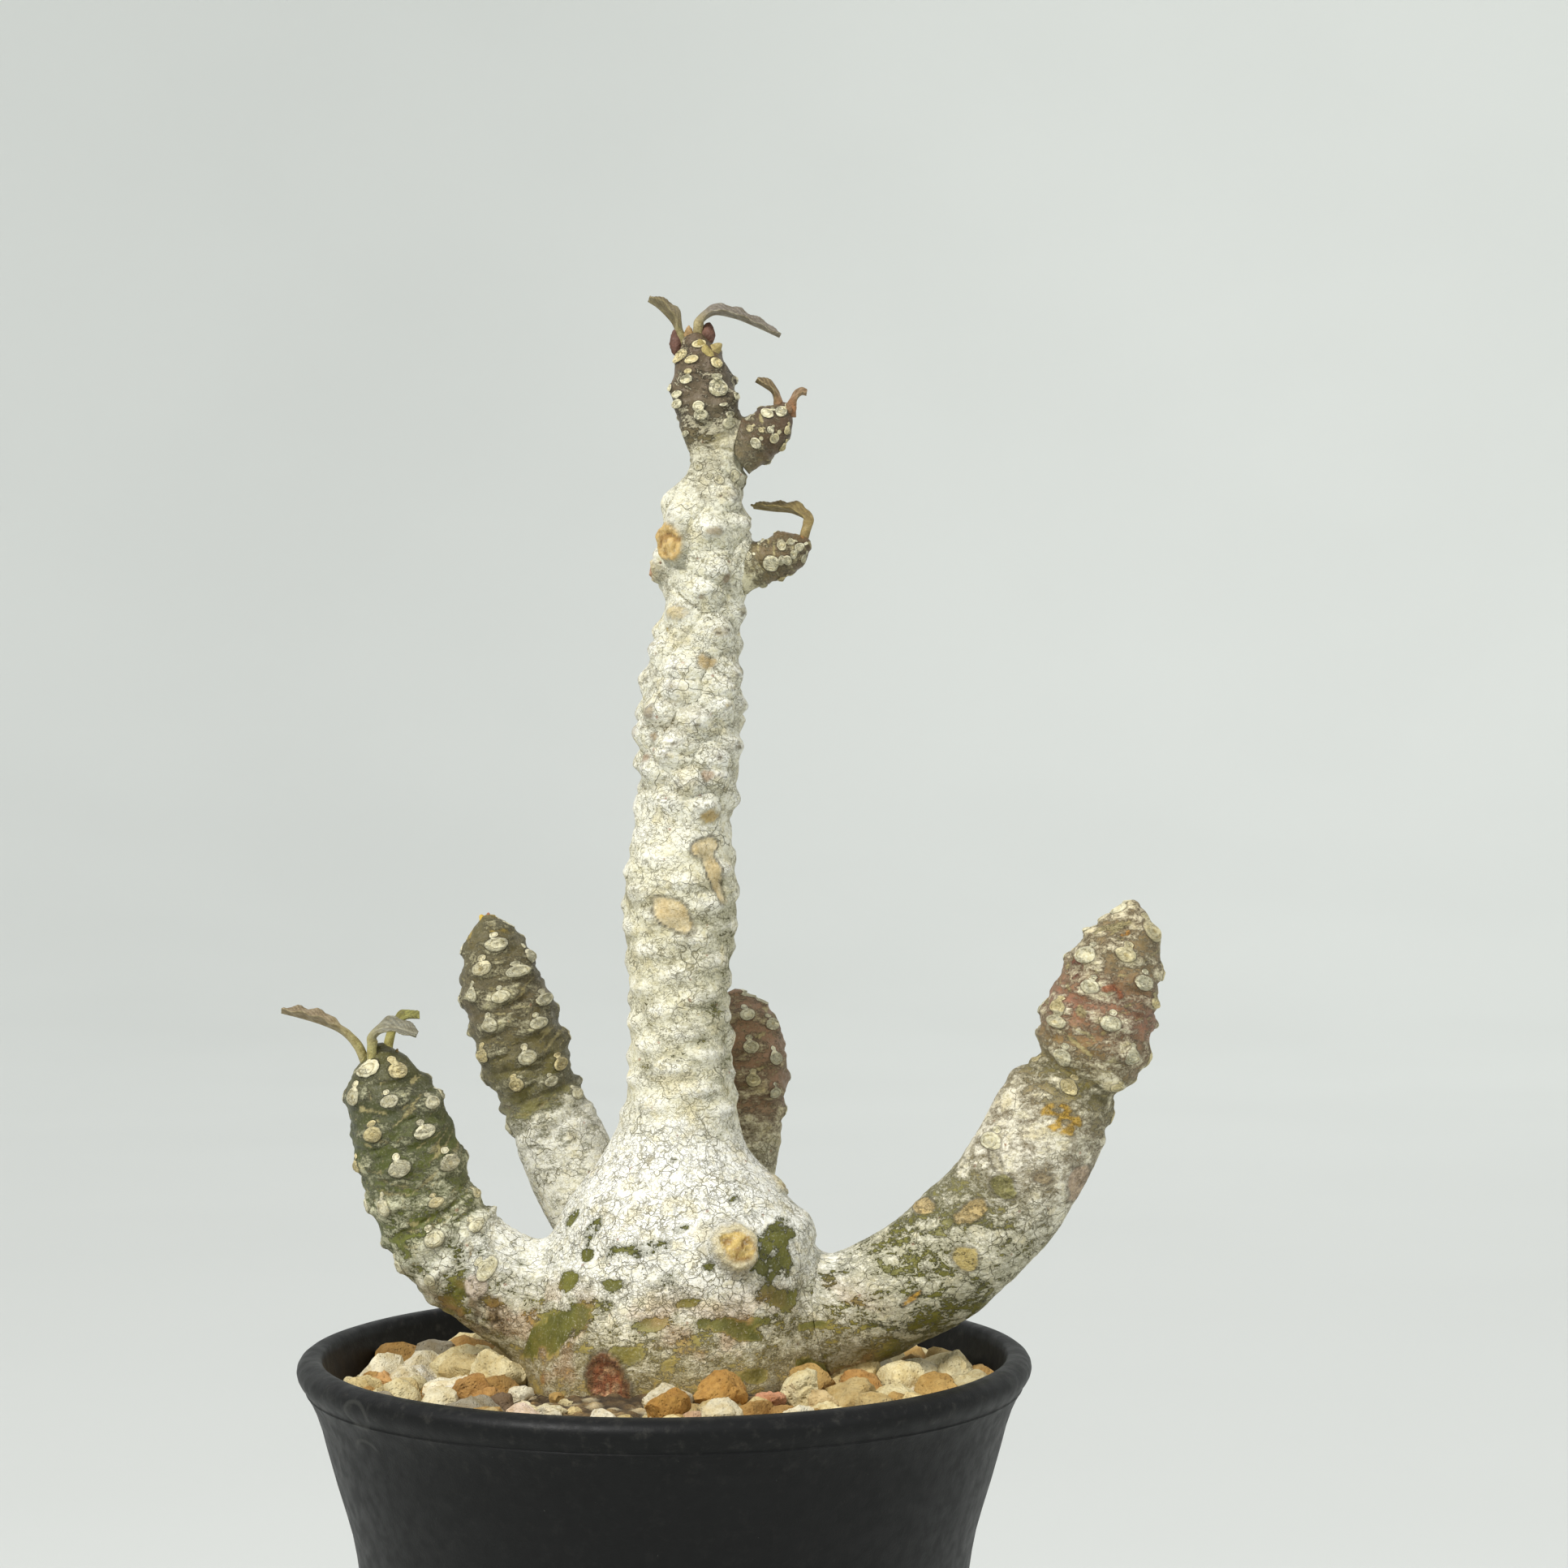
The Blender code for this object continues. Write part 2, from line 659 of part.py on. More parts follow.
def stone(draw, size):
    """An angular stone: a rough twenty-faced solid, flattened and turned at random."""
    shape = bmesh.new()
    bmesh.ops.create_icosphere(shape, subdivisions=1, radius=1.0)
    stretch = Vector((1.0, draw.uniform(*STONE_WIDTH), draw.uniform(*STONE_THICKNESS))) * size * MM
    turn = Matrix.Rotation(draw.uniform(0.0, math.tau), 3, "Z")
    turn = turn @ Matrix.Rotation(draw.uniform(-STONE_TIP, STONE_TIP), 3, "X")
    for vert in shape.verts:
        vert.co = turn @ (vert.co * draw.uniform(*STONE_CORNERS) * stretch)
    mesh = bpy.data.meshes.new("stone")
    shape.to_mesh(mesh)
    shape.free()
    return mesh


def soil_height(radius):
    near = math.exp(-max(0.0, radius - SOIL_RISE_REACH) / SOIL_RISE_FALL)
    return SOIL_RIM_HEIGHT + SOIL_RISE * near


def soil_tilt(x, y):
    """The soil is heaped a little higher toward the front and the right."""
    return max(0.0, SOIL_TILT[0] * x + SOIL_TILT[1] * y)


def soil_profile():
    profile = [(0.0, soil_height(0.0))]
    for radius in (14.0, 22.0, 28.0, 34.0, 40.0):
        profile.append((radius, soil_height(radius)))
    walls = [(r - CLEARANCE - 0.1, z) for r, z in POT_INNER]
    edge = np.interp(SOIL_RIM_HEIGHT, [z for r, z in walls], [r for r, z in walls])
    profile.append((float(edge), SOIL_RIM_HEIGHT))
    below = [(r, z) for r, z in walls if POT_FLOOR + 1.0 < z < SOIL_RIM_HEIGHT]
    profile += reversed(below)
    profile.append((below[0][0] - 1.0, POT_FLOOR + CLEARANCE))
    profile.append((0.0, POT_FLOOR + CLEARANCE))
    return profile


def make_pot(group, skin):
    profile = [(0.0, POT_FLOOR), *POT_INNER, *POT_OUTER, (0.0, 0.0)]
    obj = place("pot", turned(profile, "pot", POT_STEPS), group, skin)
    holes = collection("drains", shown=False)
    for k in range(DRAIN_COUNT):
        angle = math.tau * (k + 0.5) / DRAIN_COUNT
        shape = bmesh.new()
        bmesh.ops.create_cone(
            shape,
            cap_ends=True,
            segments=16,
            radius1=MM * DRAIN_RADIUS,
            radius2=MM * DRAIN_RADIUS,
            depth=MM * 20.0,
            matrix=Matrix.Translation(MM * DRAIN_RING * Vector((math.cos(angle), math.sin(angle), 0.0))),
        )
        mesh = bpy.data.meshes.new("drain")
        shape.to_mesh(mesh)
        shape.free()
        place("drain", mesh, holes)
    combine(obj, holes, "DIFFERENCE")
    bpy.data.collections.remove(holes)
    return obj


def make_soil(group, skin, stems):
    plug = turned(soil_profile(), "soil", SOIL_STEPS)
    for vert in plug.vertices:
        if vert.co.z > MM * (SOIL_RIM_HEIGHT - 0.1):
            vert.co.z += MM * soil_tilt(vert.co.x / MM, vert.co.y / MM)
    obj = place("soil", plug, group, skin)
    draw = random.Random(STONE_SEED)
    stones = collection("stones", shown=False)
    inner, outer = STONE_RING
    for k in range(STONE_COUNT):
        share = (k + 0.5) / STONE_COUNT
        radius = math.sqrt(inner**2 + share * (outer**2 - inner**2)) + draw.uniform(-STONE_SHIFT, STONE_SHIFT)
        angle = k * GOLDEN_ANGLE + draw.uniform(-STONE_TURN, STONE_TURN)
        size = draw.uniform(*STONE_SIZE)
        rock = place("stone", stone(draw, size), stones)
        radius = min(radius, STONE_WALL - 0.8 * size)
        x = radius * math.cos(angle)
        y = radius * math.sin(angle)
        height = soil_height(radius) + STONE_LIFT * size + soil_tilt(x, y)
        rock.location = MM * Vector((x, y, height))
    combine(obj, stones, "UNION")
    bpy.data.collections.remove(stones)
    clear_of(obj, stems)
    return obj


def main():
    clear_scene()
    group = collection(NAME)
    bark = material("bark", (206, 202, 176), 0.85)
    young_bark = material("young_bark", (135, 128, 90), 0.8)
    red_bark = material("red_bark", (165, 142, 110), 0.8)
    dark_bark = material("dark_bark", (120, 105, 80), 0.8)
    leaf_green = material("leaf_green", (150, 142, 92), 0.7)
    leaf_grey = material("leaf_grey", (150, 148, 132), 0.8)
    plastic = material("pot_plastic", (35, 37, 36), 0.5)
    gravel = material("gravel", (214, 196, 152), 0.95)

    grown_trunk = tube(TRUNK, TRUNK_SIDES, trunk_relief, CLEARANCE)
    grown_left = tube(ARM_LEFT, ARM_SIDES, arm_relief, CLEARANCE)
    grown_right = tube(ARM_RIGHT, ARM_SIDES, arm_relief, CLEARANCE)
    low_marks = [
        mark(TRUNK, trunk_relief, *entry, False, CLEARANCE) for entry in TRUNK_MARKS if entry[0] < LOW_MARK
    ]

    make_pot(group, plastic)
    make_soil(group, gravel, [grown_trunk.copy(), grown_left.copy(), grown_right.copy(), *low_marks])
    trunk = stem("trunk", TRUNK, TRUNK_SIDES, trunk_relief, TRUNK_MARKS, bark, group, by_arc=False)
    arms = (
        ("arm_left", ARM_LEFT, young_bark, arm_marks(ARM_LEFT, 27.0)),
        ("arm_right", ARM_RIGHT, red_bark, arm_marks(ARM_RIGHT, 52.0)),
        ("arm_back_left", ARM_BACK_LEFT, young_bark, arm_marks(ARM_BACK_LEFT, 31.0)),
        ("arm_back_right", ARM_BACK_RIGHT, red_bark, arm_marks(ARM_BACK_RIGHT, 28.0)),
    )
    stems = {"trunk": trunk}
    for name, stations, skin, marks in arms:
        stems[name] = stem(name, stations, ARM_SIDES, arm_relief, marks, skin, group)
        clear_of(stems[name], [grown_trunk.copy()])
    for name, stations in (("shoot_upper", SHOOT_UPPER), ("shoot_lower", SHOOT_LOWER)):
        marks = spiral_marks(stations, 0.0, SHOOT_CUSHION_PITCH, SHOOT_SCARS_FROM, SHOOT_SCAR_SIZE)
        stems[name] = stem(name, stations, SHOOT_SIDES, shoot_relief, marks, dark_bark, group)
        clear_of(stems[name], [grown_trunk.copy()])
    grown = {
        "trunk": grown_trunk,
        "arm_left": grown_left,
        "shoot_upper": tube(SHOOT_UPPER, SHOOT_SIDES, shoot_relief, CLEARANCE),
        "shoot_lower": tube(SHOOT_LOWER, SHOOT_SIDES, shoot_relief, CLEARANCE),
    }
    for name, spec in LEAVES.items():
        skin = leaf_grey if name in ("leaf_top_right", "leaf_arm_grey") else leaf_green
        blade = place(name, leaf(spec), group, skin)
        clear_of(blade, [grown[spec["stem"]].copy()])


main()
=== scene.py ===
"""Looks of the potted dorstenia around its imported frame. Lengths are in millimetres unless said."""

import math
import random

import bpy
import numpy as np
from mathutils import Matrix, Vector


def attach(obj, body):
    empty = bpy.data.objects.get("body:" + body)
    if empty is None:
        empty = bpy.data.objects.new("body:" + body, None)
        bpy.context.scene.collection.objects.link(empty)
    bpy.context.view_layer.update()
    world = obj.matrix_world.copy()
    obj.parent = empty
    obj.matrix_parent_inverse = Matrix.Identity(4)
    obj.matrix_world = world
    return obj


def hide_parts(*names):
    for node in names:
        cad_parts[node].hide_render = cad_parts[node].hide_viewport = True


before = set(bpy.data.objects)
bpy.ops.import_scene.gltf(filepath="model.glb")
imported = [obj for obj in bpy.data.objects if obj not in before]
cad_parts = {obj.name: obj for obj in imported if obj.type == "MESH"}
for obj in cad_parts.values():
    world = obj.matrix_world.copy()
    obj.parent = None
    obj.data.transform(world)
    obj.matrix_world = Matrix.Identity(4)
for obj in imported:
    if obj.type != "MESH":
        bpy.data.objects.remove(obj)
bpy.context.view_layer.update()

MM = 0.001
TAU = math.tau
GOLDEN_ANGLE = math.radians(137.508)

# The stems' centre lines, as in the part's source: x, y, z, radius.
TRUNK = (
    (2.0, 0.0, 82.0, 9.0),
    (2.0, 0.0, 84.5, 15.0),
    (2.0, 0.0, 90.0, 19.6),
    (1.9, 0.0, 96.0, 20.9),
    (1.9, 0.0, 102.0, 20.8),
    (2.2, 0.0, 108.0, 19.4),
    (2.4, 0.0, 113.4, 18.2),
    (2.0, 0.0, 118.0, 16.4),
    (1.9, 0.0, 122.3, 13.4),
    (1.9, 0.0, 127.0, 9.7),
    (2.1, 0.0, 132.0, 8.0),
    (2.1, 0.0, 140.0, 7.1),
    (1.8, 0.0, 151.0, 6.9),
    (2.1, 0.0, 162.0, 7.7),
    (2.5, 0.0, 172.0, 6.7),
    (3.2, 0.0, 178.0, 7.0),
    (3.5, 0.0, 187.5, 7.2),
    (4.6, 0.0, 197.0, 6.0),
    (5.1, 0.0, 201.8, 5.6),
    (5.3, 0.0, 206.5, 6.2),
    (5.6, 0.0, 214.5, 5.9),
    (6.8, 0.0, 219.5, 4.1),
    (7.0, 0.0, 222.2, 3.9),
    (6.1, 0.0, 226.2, 4.3),
    (5.2, 0.0, 231.0, 4.4),
    (4.6, 0.0, 235.0, 3.4),
    (3.9, 0.0, 237.6, 1.9),
)
ARM_LEFT = (
    (-6.6, 0.0, 102.6, 8.6),
    (-13.3, 0.0, 104.4, 8.4),
    (-19.4, 0.0, 107.0, 7.6),
    (-25.3, 0.0, 110.7, 7.4),
    (-28.8, 0.0, 113.6, 7.4),
    (-32.6, 0.0, 119.2, 7.3),
    (-35.0, -0.3, 126.5, 7.1),
    (-36.8, -0.5, 132.0, 6.6),
    (-38.1, -0.7, 136.0, 5.4),
    (-38.8, -0.8, 139.4, 3.4),
    (-39.3, -0.8, 141.0, 1.4),
)
ARM_RIGHT = (
    (13.5, -1.0, 103.6, 8.2),
    (22.2, -1.5, 104.6, 8.0),
    (30.0, -2.0, 107.6, 8.0),
    (37.4, -2.0, 112.2, 8.2),
    (43.2, -2.0, 117.2, 8.3),
    (47.6, -2.0, 122.6, 8.4),
    (51.0, -2.0, 128.6, 8.0),
    (53.3, -2.0, 133.2, 7.1),
    (55.8, -2.0, 137.0, 6.8),
    (57.9, -2.0, 141.4, 7.6),
    (59.4, -2.0, 146.6, 7.5),
    (61.3, -2.0, 152.4, 6.3),
    (62.8, -2.0, 156.4, 4.9),
    (63.3, -2.0, 159.0, 3.0),
    (63.5, -2.0, 160.6, 1.3),
)
ARM_BACK_LEFT = (
    (-4.0, 11.0, 108.0, 6.4),
    (-8.6, 15.6, 114.0, 6.4),
    (-13.2, 18.6, 120.6, 6.4),
    (-15.8, 19.8, 126.4, 6.3),
    (-18.2, 20.0, 131.6, 5.8),
    (-20.2, 20.0, 136.6, 6.4),
    (-22.1, 20.0, 142.4, 6.4),
    (-24.0, 20.0, 148.4, 6.0),
    (-25.2, 20.0, 153.6, 4.5),
    (-25.9, 20.0, 156.6, 2.7),
    (-26.1, 20.0, 157.8, 1.2),
)
ARM_BACK_RIGHT = (
    (4.0, 11.0, 108.0, 6.2),
    (6.2, 15.4, 114.0, 6.4),
    (8.2, 18.4, 120.0, 6.4),
    (9.4, 19.8, 126.0, 6.1),
    (10.0, 20.0, 131.0, 6.0),
    (10.5, 20.0, 136.4, 6.4),
    (10.3, 20.0, 141.4, 5.6),
    (9.6, 20.0, 145.2, 3.7),
    (9.3, 20.0, 147.0, 1.4),
)
SHOOT_UPPER = (
    (9.6, -0.4, 221.6, 2.5),
    (11.6, -0.4, 223.2, 3.1),
    (13.8, -0.4, 225.2, 3.2),
    (15.5, -0.4, 227.1, 2.4),
    (16.5, -0.4, 228.4, 1.1),
)
SHOOT_LOWER = (
    (9.6, -0.6, 205.6, 2.6),
    (12.4, -0.6, 206.8, 2.8),
    (15.4, -0.6, 208.1, 3.0),
    (17.8, -0.6, 209.2, 2.6),
    (19.2, -0.6, 209.9, 1.2),
)


def linear(*channels):
    """Linear colour of 8-bit sRGB channels."""
    value = np.array(channels, dtype=float) / 255.0
    return np.where(value <= 0.04045, value / 12.92, ((value + 0.055) / 1.055) ** 2.4)


def ramp(x, stops):
    """Colours or numbers interpolated at x along stops of (position, value)."""
    where = [s[0] for s in stops]
    values = np.array([np.atleast_1d(s[1]) for s in stops], dtype=float)
    return np.stack([np.interp(x, where, values[:, k]) for k in range(values.shape[1])], axis=-1)


def step(x, low, high):
    """Smooth 0 to 1 as x goes from low to high."""
    t = np.clip((x - low) / (high - low), 0.0, 1.0)
    return t * t * (3.0 - 2.0 * t)


def mix(a, b, share):
    """a toward b by share, for numbers or for rows of colours."""
    if np.ndim(share) and (np.ndim(a) > 1 or np.ndim(b) > 1 or np.shape(b) == (3,)):
        share = np.asarray(share)[:, None]
    return a + (b - a) * share


def scatter(ix, iy, iz, seed):
    """A repeatable number from 0 to 1 for each lattice cell."""
    mask = np.int64(0xFFFFFFFF)
    h = (ix * 374761393 + iy * 668265263 + iz * 1274126177 + seed * 974634777) & mask
    h = ((h ^ (h >> 15)) * 739981) & mask
    h = ((h ^ (h >> 13)) * 1103515) & mask
    h = h ^ (h >> 16)
    return (h & 0xFFFFFF) / float(0xFFFFFF)


def noise(points, size, seed):
    """Smooth noise from -1 to 1 with features of about the size."""
    q = points / size
    low = np.floor(q).astype(np.int64)
    f = q - low
    f = f * f * (3.0 - 2.0 * f)
    total = 0.0
    for dx in (0, 1):
        wx = f[:, 0] if dx else 1.0 - f[:, 0]
        for dy in (0, 1):
            wy = f[:, 1] if dy else 1.0 - f[:, 1]
            for dz in (0, 1):
                wz = f[:, 2] if dz else 1.0 - f[:, 2]
                total = total + wx * wy * wz * scatter(low[:, 0] + dx, low[:, 1] + dy, low[:, 2] + dz, seed)
    return 2.0 * total - 1.0


def layered(points, size, seed, layers=4, fall=0.5):
    total, weight = 0.0, 0.0
    for k in range(layers):
        total = total + fall**k * noise(points, size / 2.0**k, seed + k)
        weight += fall**k
    return total / weight


def cells(points, size, seed):
    """Distance to the nearest and to the second nearest of scattered points, and a number for the nearest."""
    q = points / size
    low = np.floor(q).astype(np.int64)
    first = np.full(len(q), 9.0)
    second = np.full(len(q), 9.0)
    own = np.zeros(len(q))
    for dx in (-1, 0, 1):
        for dy in (-1, 0, 1):
            for dz in (-1, 0, 1):
                c = low + np.array((dx, dy, dz))
                spot = np.stack([scatter(c[:, 0], c[:, 1], c[:, 2], seed + k) for k in range(3)], axis=1)
                d = np.linalg.norm(c + spot - q, axis=1)
                nearer = d < first
                second = np.where(nearer, first, np.minimum(second, d))
                own = np.where(nearer, scatter(c[:, 0], c[:, 1], c[:, 2], seed + 3), own)
                first = np.where(nearer, d, first)
    return first * size, second * size, own


class Stem:
    """A centre line with radii, sampled finely along its length."""

    def __init__(self, stations, upright=False):
        nodes = np.array(stations, dtype=float)
        gaps = np.linalg.norm(np.diff(nodes[:, :3], axis=0), axis=1)
        slopes = np.gradient(nodes, np.concatenate(([0.0], np.cumsum(gaps))), axis=0)
        samples = []
        for i, gap in enumerate(gaps):
            for t in np.arange(24) / 24.0:
                samples.append(
                    (2 * t**3 - 3 * t**2 + 1) * nodes[i]
                    + (t**3 - 2 * t**2 + t) * gap * slopes[i]
                    + (3 * t**2 - 2 * t**3) * nodes[i + 1]
                    + (t**3 - t**2) * gap * slopes[i + 1]
                )
        samples.append(nodes[-1])
        self.path = np.array(samples)
        lengths = np.linalg.norm(np.diff(self.path[:, :3], axis=0), axis=1)
        self.arcs = np.concatenate(([0.0], np.cumsum(lengths)))
        self.length = self.arcs[-1]
        self.cap = 0.6 * nodes[-1, 3]
        self.upright = upright
        self.along = np.gradient(self.path[:, :3], axis=0)
        self.along /= np.linalg.norm(self.along, axis=1)[:, None]

    def at(self, arcs):
        """Centre, radius and the three directions at the arc lengths, with a round tip past the end."""
        inside = np.minimum(arcs, self.length)
        row = np.stack([np.interp(inside, self.arcs, self.path[:, k]) for k in range(4)], axis=1)
        along = np.stack([np.interp(inside, self.arcs, self.along[:, k]) for k in range(3)], axis=1)
        along /= np.linalg.norm(along, axis=1)[:, None]
        toward = np.array([0.0, -1.0, 0.0]) + along[:, 1:2] * along
        toward /= np.linalg.norm(toward, axis=1)[:, None]
        across = np.cross(along, toward)
        past = np.clip((arcs - self.length) / self.cap, 0.0, 1.0)
        centre = row[:, :3] + (past * self.cap)[:, None] * along
        radius = row[:, 3] * np.sqrt(np.maximum(1.0 - past**2, 0.0))
        return centre, radius, along, toward, across

    def distance(self, points):
        """Signed distance to the plain stem, and the direction away from it."""
        if self.upright:
            z = points[:, 2]
            centre = np.stack([np.interp(z, self.path[:, 2], self.path[:, k]) for k in range(2)], axis=1)
            radius = np.interp(z, self.path[:, 2], self.path[:, 3])
            slope = np.interp(z, self.path[:, 2], np.gradient(self.path[:, 3], self.path[:, 2]))
            off = points[:, :2] - centre
            size = np.linalg.norm(off, axis=1) + 1e-9
            lean = np.sqrt(1.0 + slope**2)
            away = np.column_stack((off / size[:, None], -slope)) / lean[:, None]
            return (size - radius) / lean, away
        best = np.full(len(points), 1e9)
        pick = np.zeros(len(points), dtype=int)
        for k in range(0, len(self.path), 3):
            d = np.linalg.norm(points - self.path[k, :3], axis=1) - self.path[k, 3]
            nearer = d < best
            best = np.where(nearer, d, best)
            pick = np.where(nearer, k, pick)
        away = points - self.path[pick, :3]
        away /= np.linalg.norm(away, axis=1)[:, None] + 1e-9
        return best, away


STEMS = {
    "trunk": Stem(TRUNK, upright=True),
    "arm_left": Stem(ARM_LEFT),
    "arm_right": Stem(ARM_RIGHT),
    "arm_back_left": Stem(ARM_BACK_LEFT),
    "arm_back_right": Stem(ARM_BACK_RIGHT),
    "shoot_upper": Stem(SHOOT_UPPER),
    "shoot_lower": Stem(SHOOT_LOWER),
}
# How wide the smooth join between the trunk and each of the others is.
JOINS = {
    "arm_left": 4.0,
    "arm_right": 3.0,
    "arm_back_left": 4.0,
    "arm_back_right": 4.0,
    "shoot_upper": 1.6,
    "shoot_lower": 1.6,
}


def joined(points, own, other, width):
    """Moves points of one stem out onto the smooth join with another, and lets them dive under past the seam."""
    near = np.abs(other.distance(points)[0]) < width
    moved = points[near]
    start, _ = other.distance(moved)
    for _ in range(4):
        a, away_a = own.distance(moved)
        b, away_b = other.distance(moved)
        h = np.clip(1.0 - np.abs(a - b) / width, 0.0, None)
        blend = np.minimum(a, b) - h * h * width / 4.0
        share = np.where(a < b, 1.0 - h / 2.0, h / 2.0)[:, None]
        slope = share * away_a + (1.0 - share) * away_b
        size = np.maximum((slope**2).sum(axis=1), 0.3)
        moved = moved - (blend / size)[:, None] * slope
    keep = step(start, -0.22 * width, 0.0)[:, None]
    result = points.copy()
    result[near] = points[near] + keep * (moved - points[near])
    return result


def runs(*stops):
    """Arc lengths through stops of (place, spacing up to the next one)."""
    parts = []
    for (start, spacing), (end, _) in zip(stops[:-1], stops[1:]):
        parts.append(np.linspace(start, end, max(2, int(round((end - start) / spacing)) + 1))[:-1])
    return np.concatenate(parts + [[stops[-1][0]]])


def grid(places, sides):
    """Rings of points round a stem at the arc lengths: arc length, angle and the faces between them."""
    rings = len(places)
    arcs = np.repeat(places, sides)
    angle = np.tile(np.arange(sides) * TAU / sides, rings)
    i = np.arange(rings - 1)[:, None] * sides
    k = np.arange(sides)[None, :]
    n = (k + 1) % sides
    faces = np.stack((i + k, i + n, i + sides + n, i + sides + k), axis=-1).reshape(-1, 4)
    return arcs, angle, faces, rings


def grid_normals(points, rings, sides):
    p = points.reshape(rings, sides, 3)
    around = np.roll(p, -1, axis=1) - np.roll(p, 1, axis=1)
    up = np.gradient(p, axis=0)
    n = np.cross(around, up)
    n /= np.linalg.norm(n, axis=2)[:, :, None] + 1e-12
    return n.reshape(-1, 3)


def piece(name, points, faces, colours, material, replaced):
    """A smooth-shaded piece of the object from points in millimetres, with its colour attributes."""
    mesh = bpy.data.meshes.new(name)
    mesh.from_pydata((points * MM).tolist(), [], [f if isinstance(f, list) else f.tolist() for f in faces])
    mesh.update()
    for key, values in colours.items():
        made = mesh.attributes.new(key, "FLOAT_COLOR", "POINT")
        made.data.foreach_set("color", np.clip(values, 0.0, 1.0).astype(np.float32).ravel())
    mesh.materials.append(material)
    mesh.shade_smooth()
    obj = bpy.data.objects.new(name, mesh)
    bpy.context.scene.collection.objects.link(obj)
    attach(obj, "root")
    if replaced:
        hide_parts(replaced)
    return obj


# Surface of the stems.

SCAR_YELLOW = linear(206, 178, 84)
CREAM = linear(222, 206, 150)
BROWN = linear(128, 98, 60)

# The camera of the photograph, and how many of its pixels a millimetre takes a metre away.
EYE = np.array((16.2, -435.0, 177.1))
PIXELS_MM = 3922.0
MIDDLE = 966.0

# Leaf scars read off the photograph: pixel column and row, width and height in pixels.
SCARS_SEEN = {
    "trunk": (
        (861, 424, 15, 10), (838, 439, 15, 16), (854, 443, 15, 10), (882, 448, 12, 13), (850, 458, 9, 7),
        (847, 468, 15, 11), (882, 464, 11, 7), (884, 478, 22, 22), (836, 486, 12, 9), (836, 497, 11, 11),
        (862, 500, 13, 12), (864, 511, 15, 12), (897, 512, 10, 8), (898, 521, 16, 16), (889, 499, 9, 4),
        (903, 489, 6, 11), (829, 477, 6, 8), (848, 533, 8, 6), (858, 575, 12, 10), (886, 592, 13, 10),
        (906, 586, 10, 12), (874, 586, 10, 8),
    ),
    "arm_left": (
        (454, 1317, 26, 20), (489, 1320, 20, 17), (437, 1350, 15, 16), (479, 1357, 22, 15), (531, 1358, 14, 14),
        (461, 1397, 23, 18), (522, 1396, 23, 17), (443, 1436, 10, 17), (492, 1441, 25, 20), (554, 1433, 20, 19),
        (538, 1481, 18, 15), (473, 1489, 16, 19), (587, 1511, 17, 21), (536, 1525, 24, 20), (586, 1471, 13, 17),
        (531, 1575, 13, 12), (601, 1564, 30, 19), (566, 1335, 8, 12),
    ),
    "arm_right": (
        (1420, 1147, 20, 20), (1387, 1176, 24, 17), (1338, 1178, 20, 19), (1408, 1211, 23, 19), (1343, 1215, 20, 16),
        (1304, 1241, 15, 13), (1302, 1260, 20, 17), (1367, 1261, 24, 19), (1421, 1234, 12, 14), (1307, 1303, 22, 22),
        (1392, 1303, 16, 16), (1317, 1338, 23, 18), (1375, 1341, 14, 10), (1273, 1304, 9, 12), (1221, 1405, 22, 22),
    ),
    "arm_back_left": (
        (612, 1163, 26, 16), (594, 1194, 22, 17), (640, 1196, 28, 14), (653, 1177, 12, 18), (583, 1225, 11, 16),
        (617, 1227, 22, 15), (671, 1230, 19, 15), (604, 1264, 20, 17), (663, 1260, 20, 14), (597, 1301, 13, 17),
        (650, 1302, 23, 19), (692, 1310, 17, 17), (636, 1338, 17, 15), (680, 1333, 16, 12),
    ),
    "arm_back_right": (
        (925, 1216, 14, 9), (944, 1222, 12, 12), (921, 1250, 16, 13), (950, 1262, 15, 13), (925, 1290, 18, 15),
        (954, 1303, 13, 14), (927, 1330, 17, 14), (953, 1345, 13, 13),
    ),
    "shoot_upper": (
        (945, 509, 15, 12), (963, 507, 13, 15), (931, 547, 15, 12), (954, 540, 10, 13), (949, 529, 8, 8),
        (938, 531, 8, 6), (969, 530, 7, 10), (924, 529, 9, 9),
    ),
    "shoot_lower": (
        (963, 672, 13, 12), (970, 690, 12, 11), (985, 674, 10, 13), (950, 694, 18, 20), (962, 692, 8, 8),
        (978, 683, 9, 8), (975, 668, 9, 8), (990, 688, 7, 9),
    ),
}
# Old cushions on the white trunk, in the same way.
CUSHIONS_SEEN = (
    (832, 635, 36, 32), (900, 612, 34, 26), (876, 650, 30, 24), (885, 703, 30, 22), (866, 727, 26, 14),
    (831, 754, 30, 24), (890, 780, 30, 22), (913, 754, 18, 20), (834, 824, 32, 24), (832, 848, 30, 24),
    (896, 848, 28, 26), (908, 832, 18, 28), (860, 888, 44, 26), (804, 876, 26, 28), (892, 872, 28, 22),
    (822, 932, 38, 24), (886, 936, 38, 28), (828, 916, 30, 20), (908, 920, 22, 22), (886, 958, 34, 22),
    (848, 964, 36, 20), (797, 947, 16, 22), (818, 992, 30, 22), (870, 996, 34, 20), (905, 985, 20, 22),
)


# Flakes that peel from the trunk: column, row, length, width and tilt.
FLAKES_SEEN = ((870, 1044, 36, 24, 20.0), (880, 1070, 62, 24, -70.0), (828, 1124, 64, 30, -38.0))


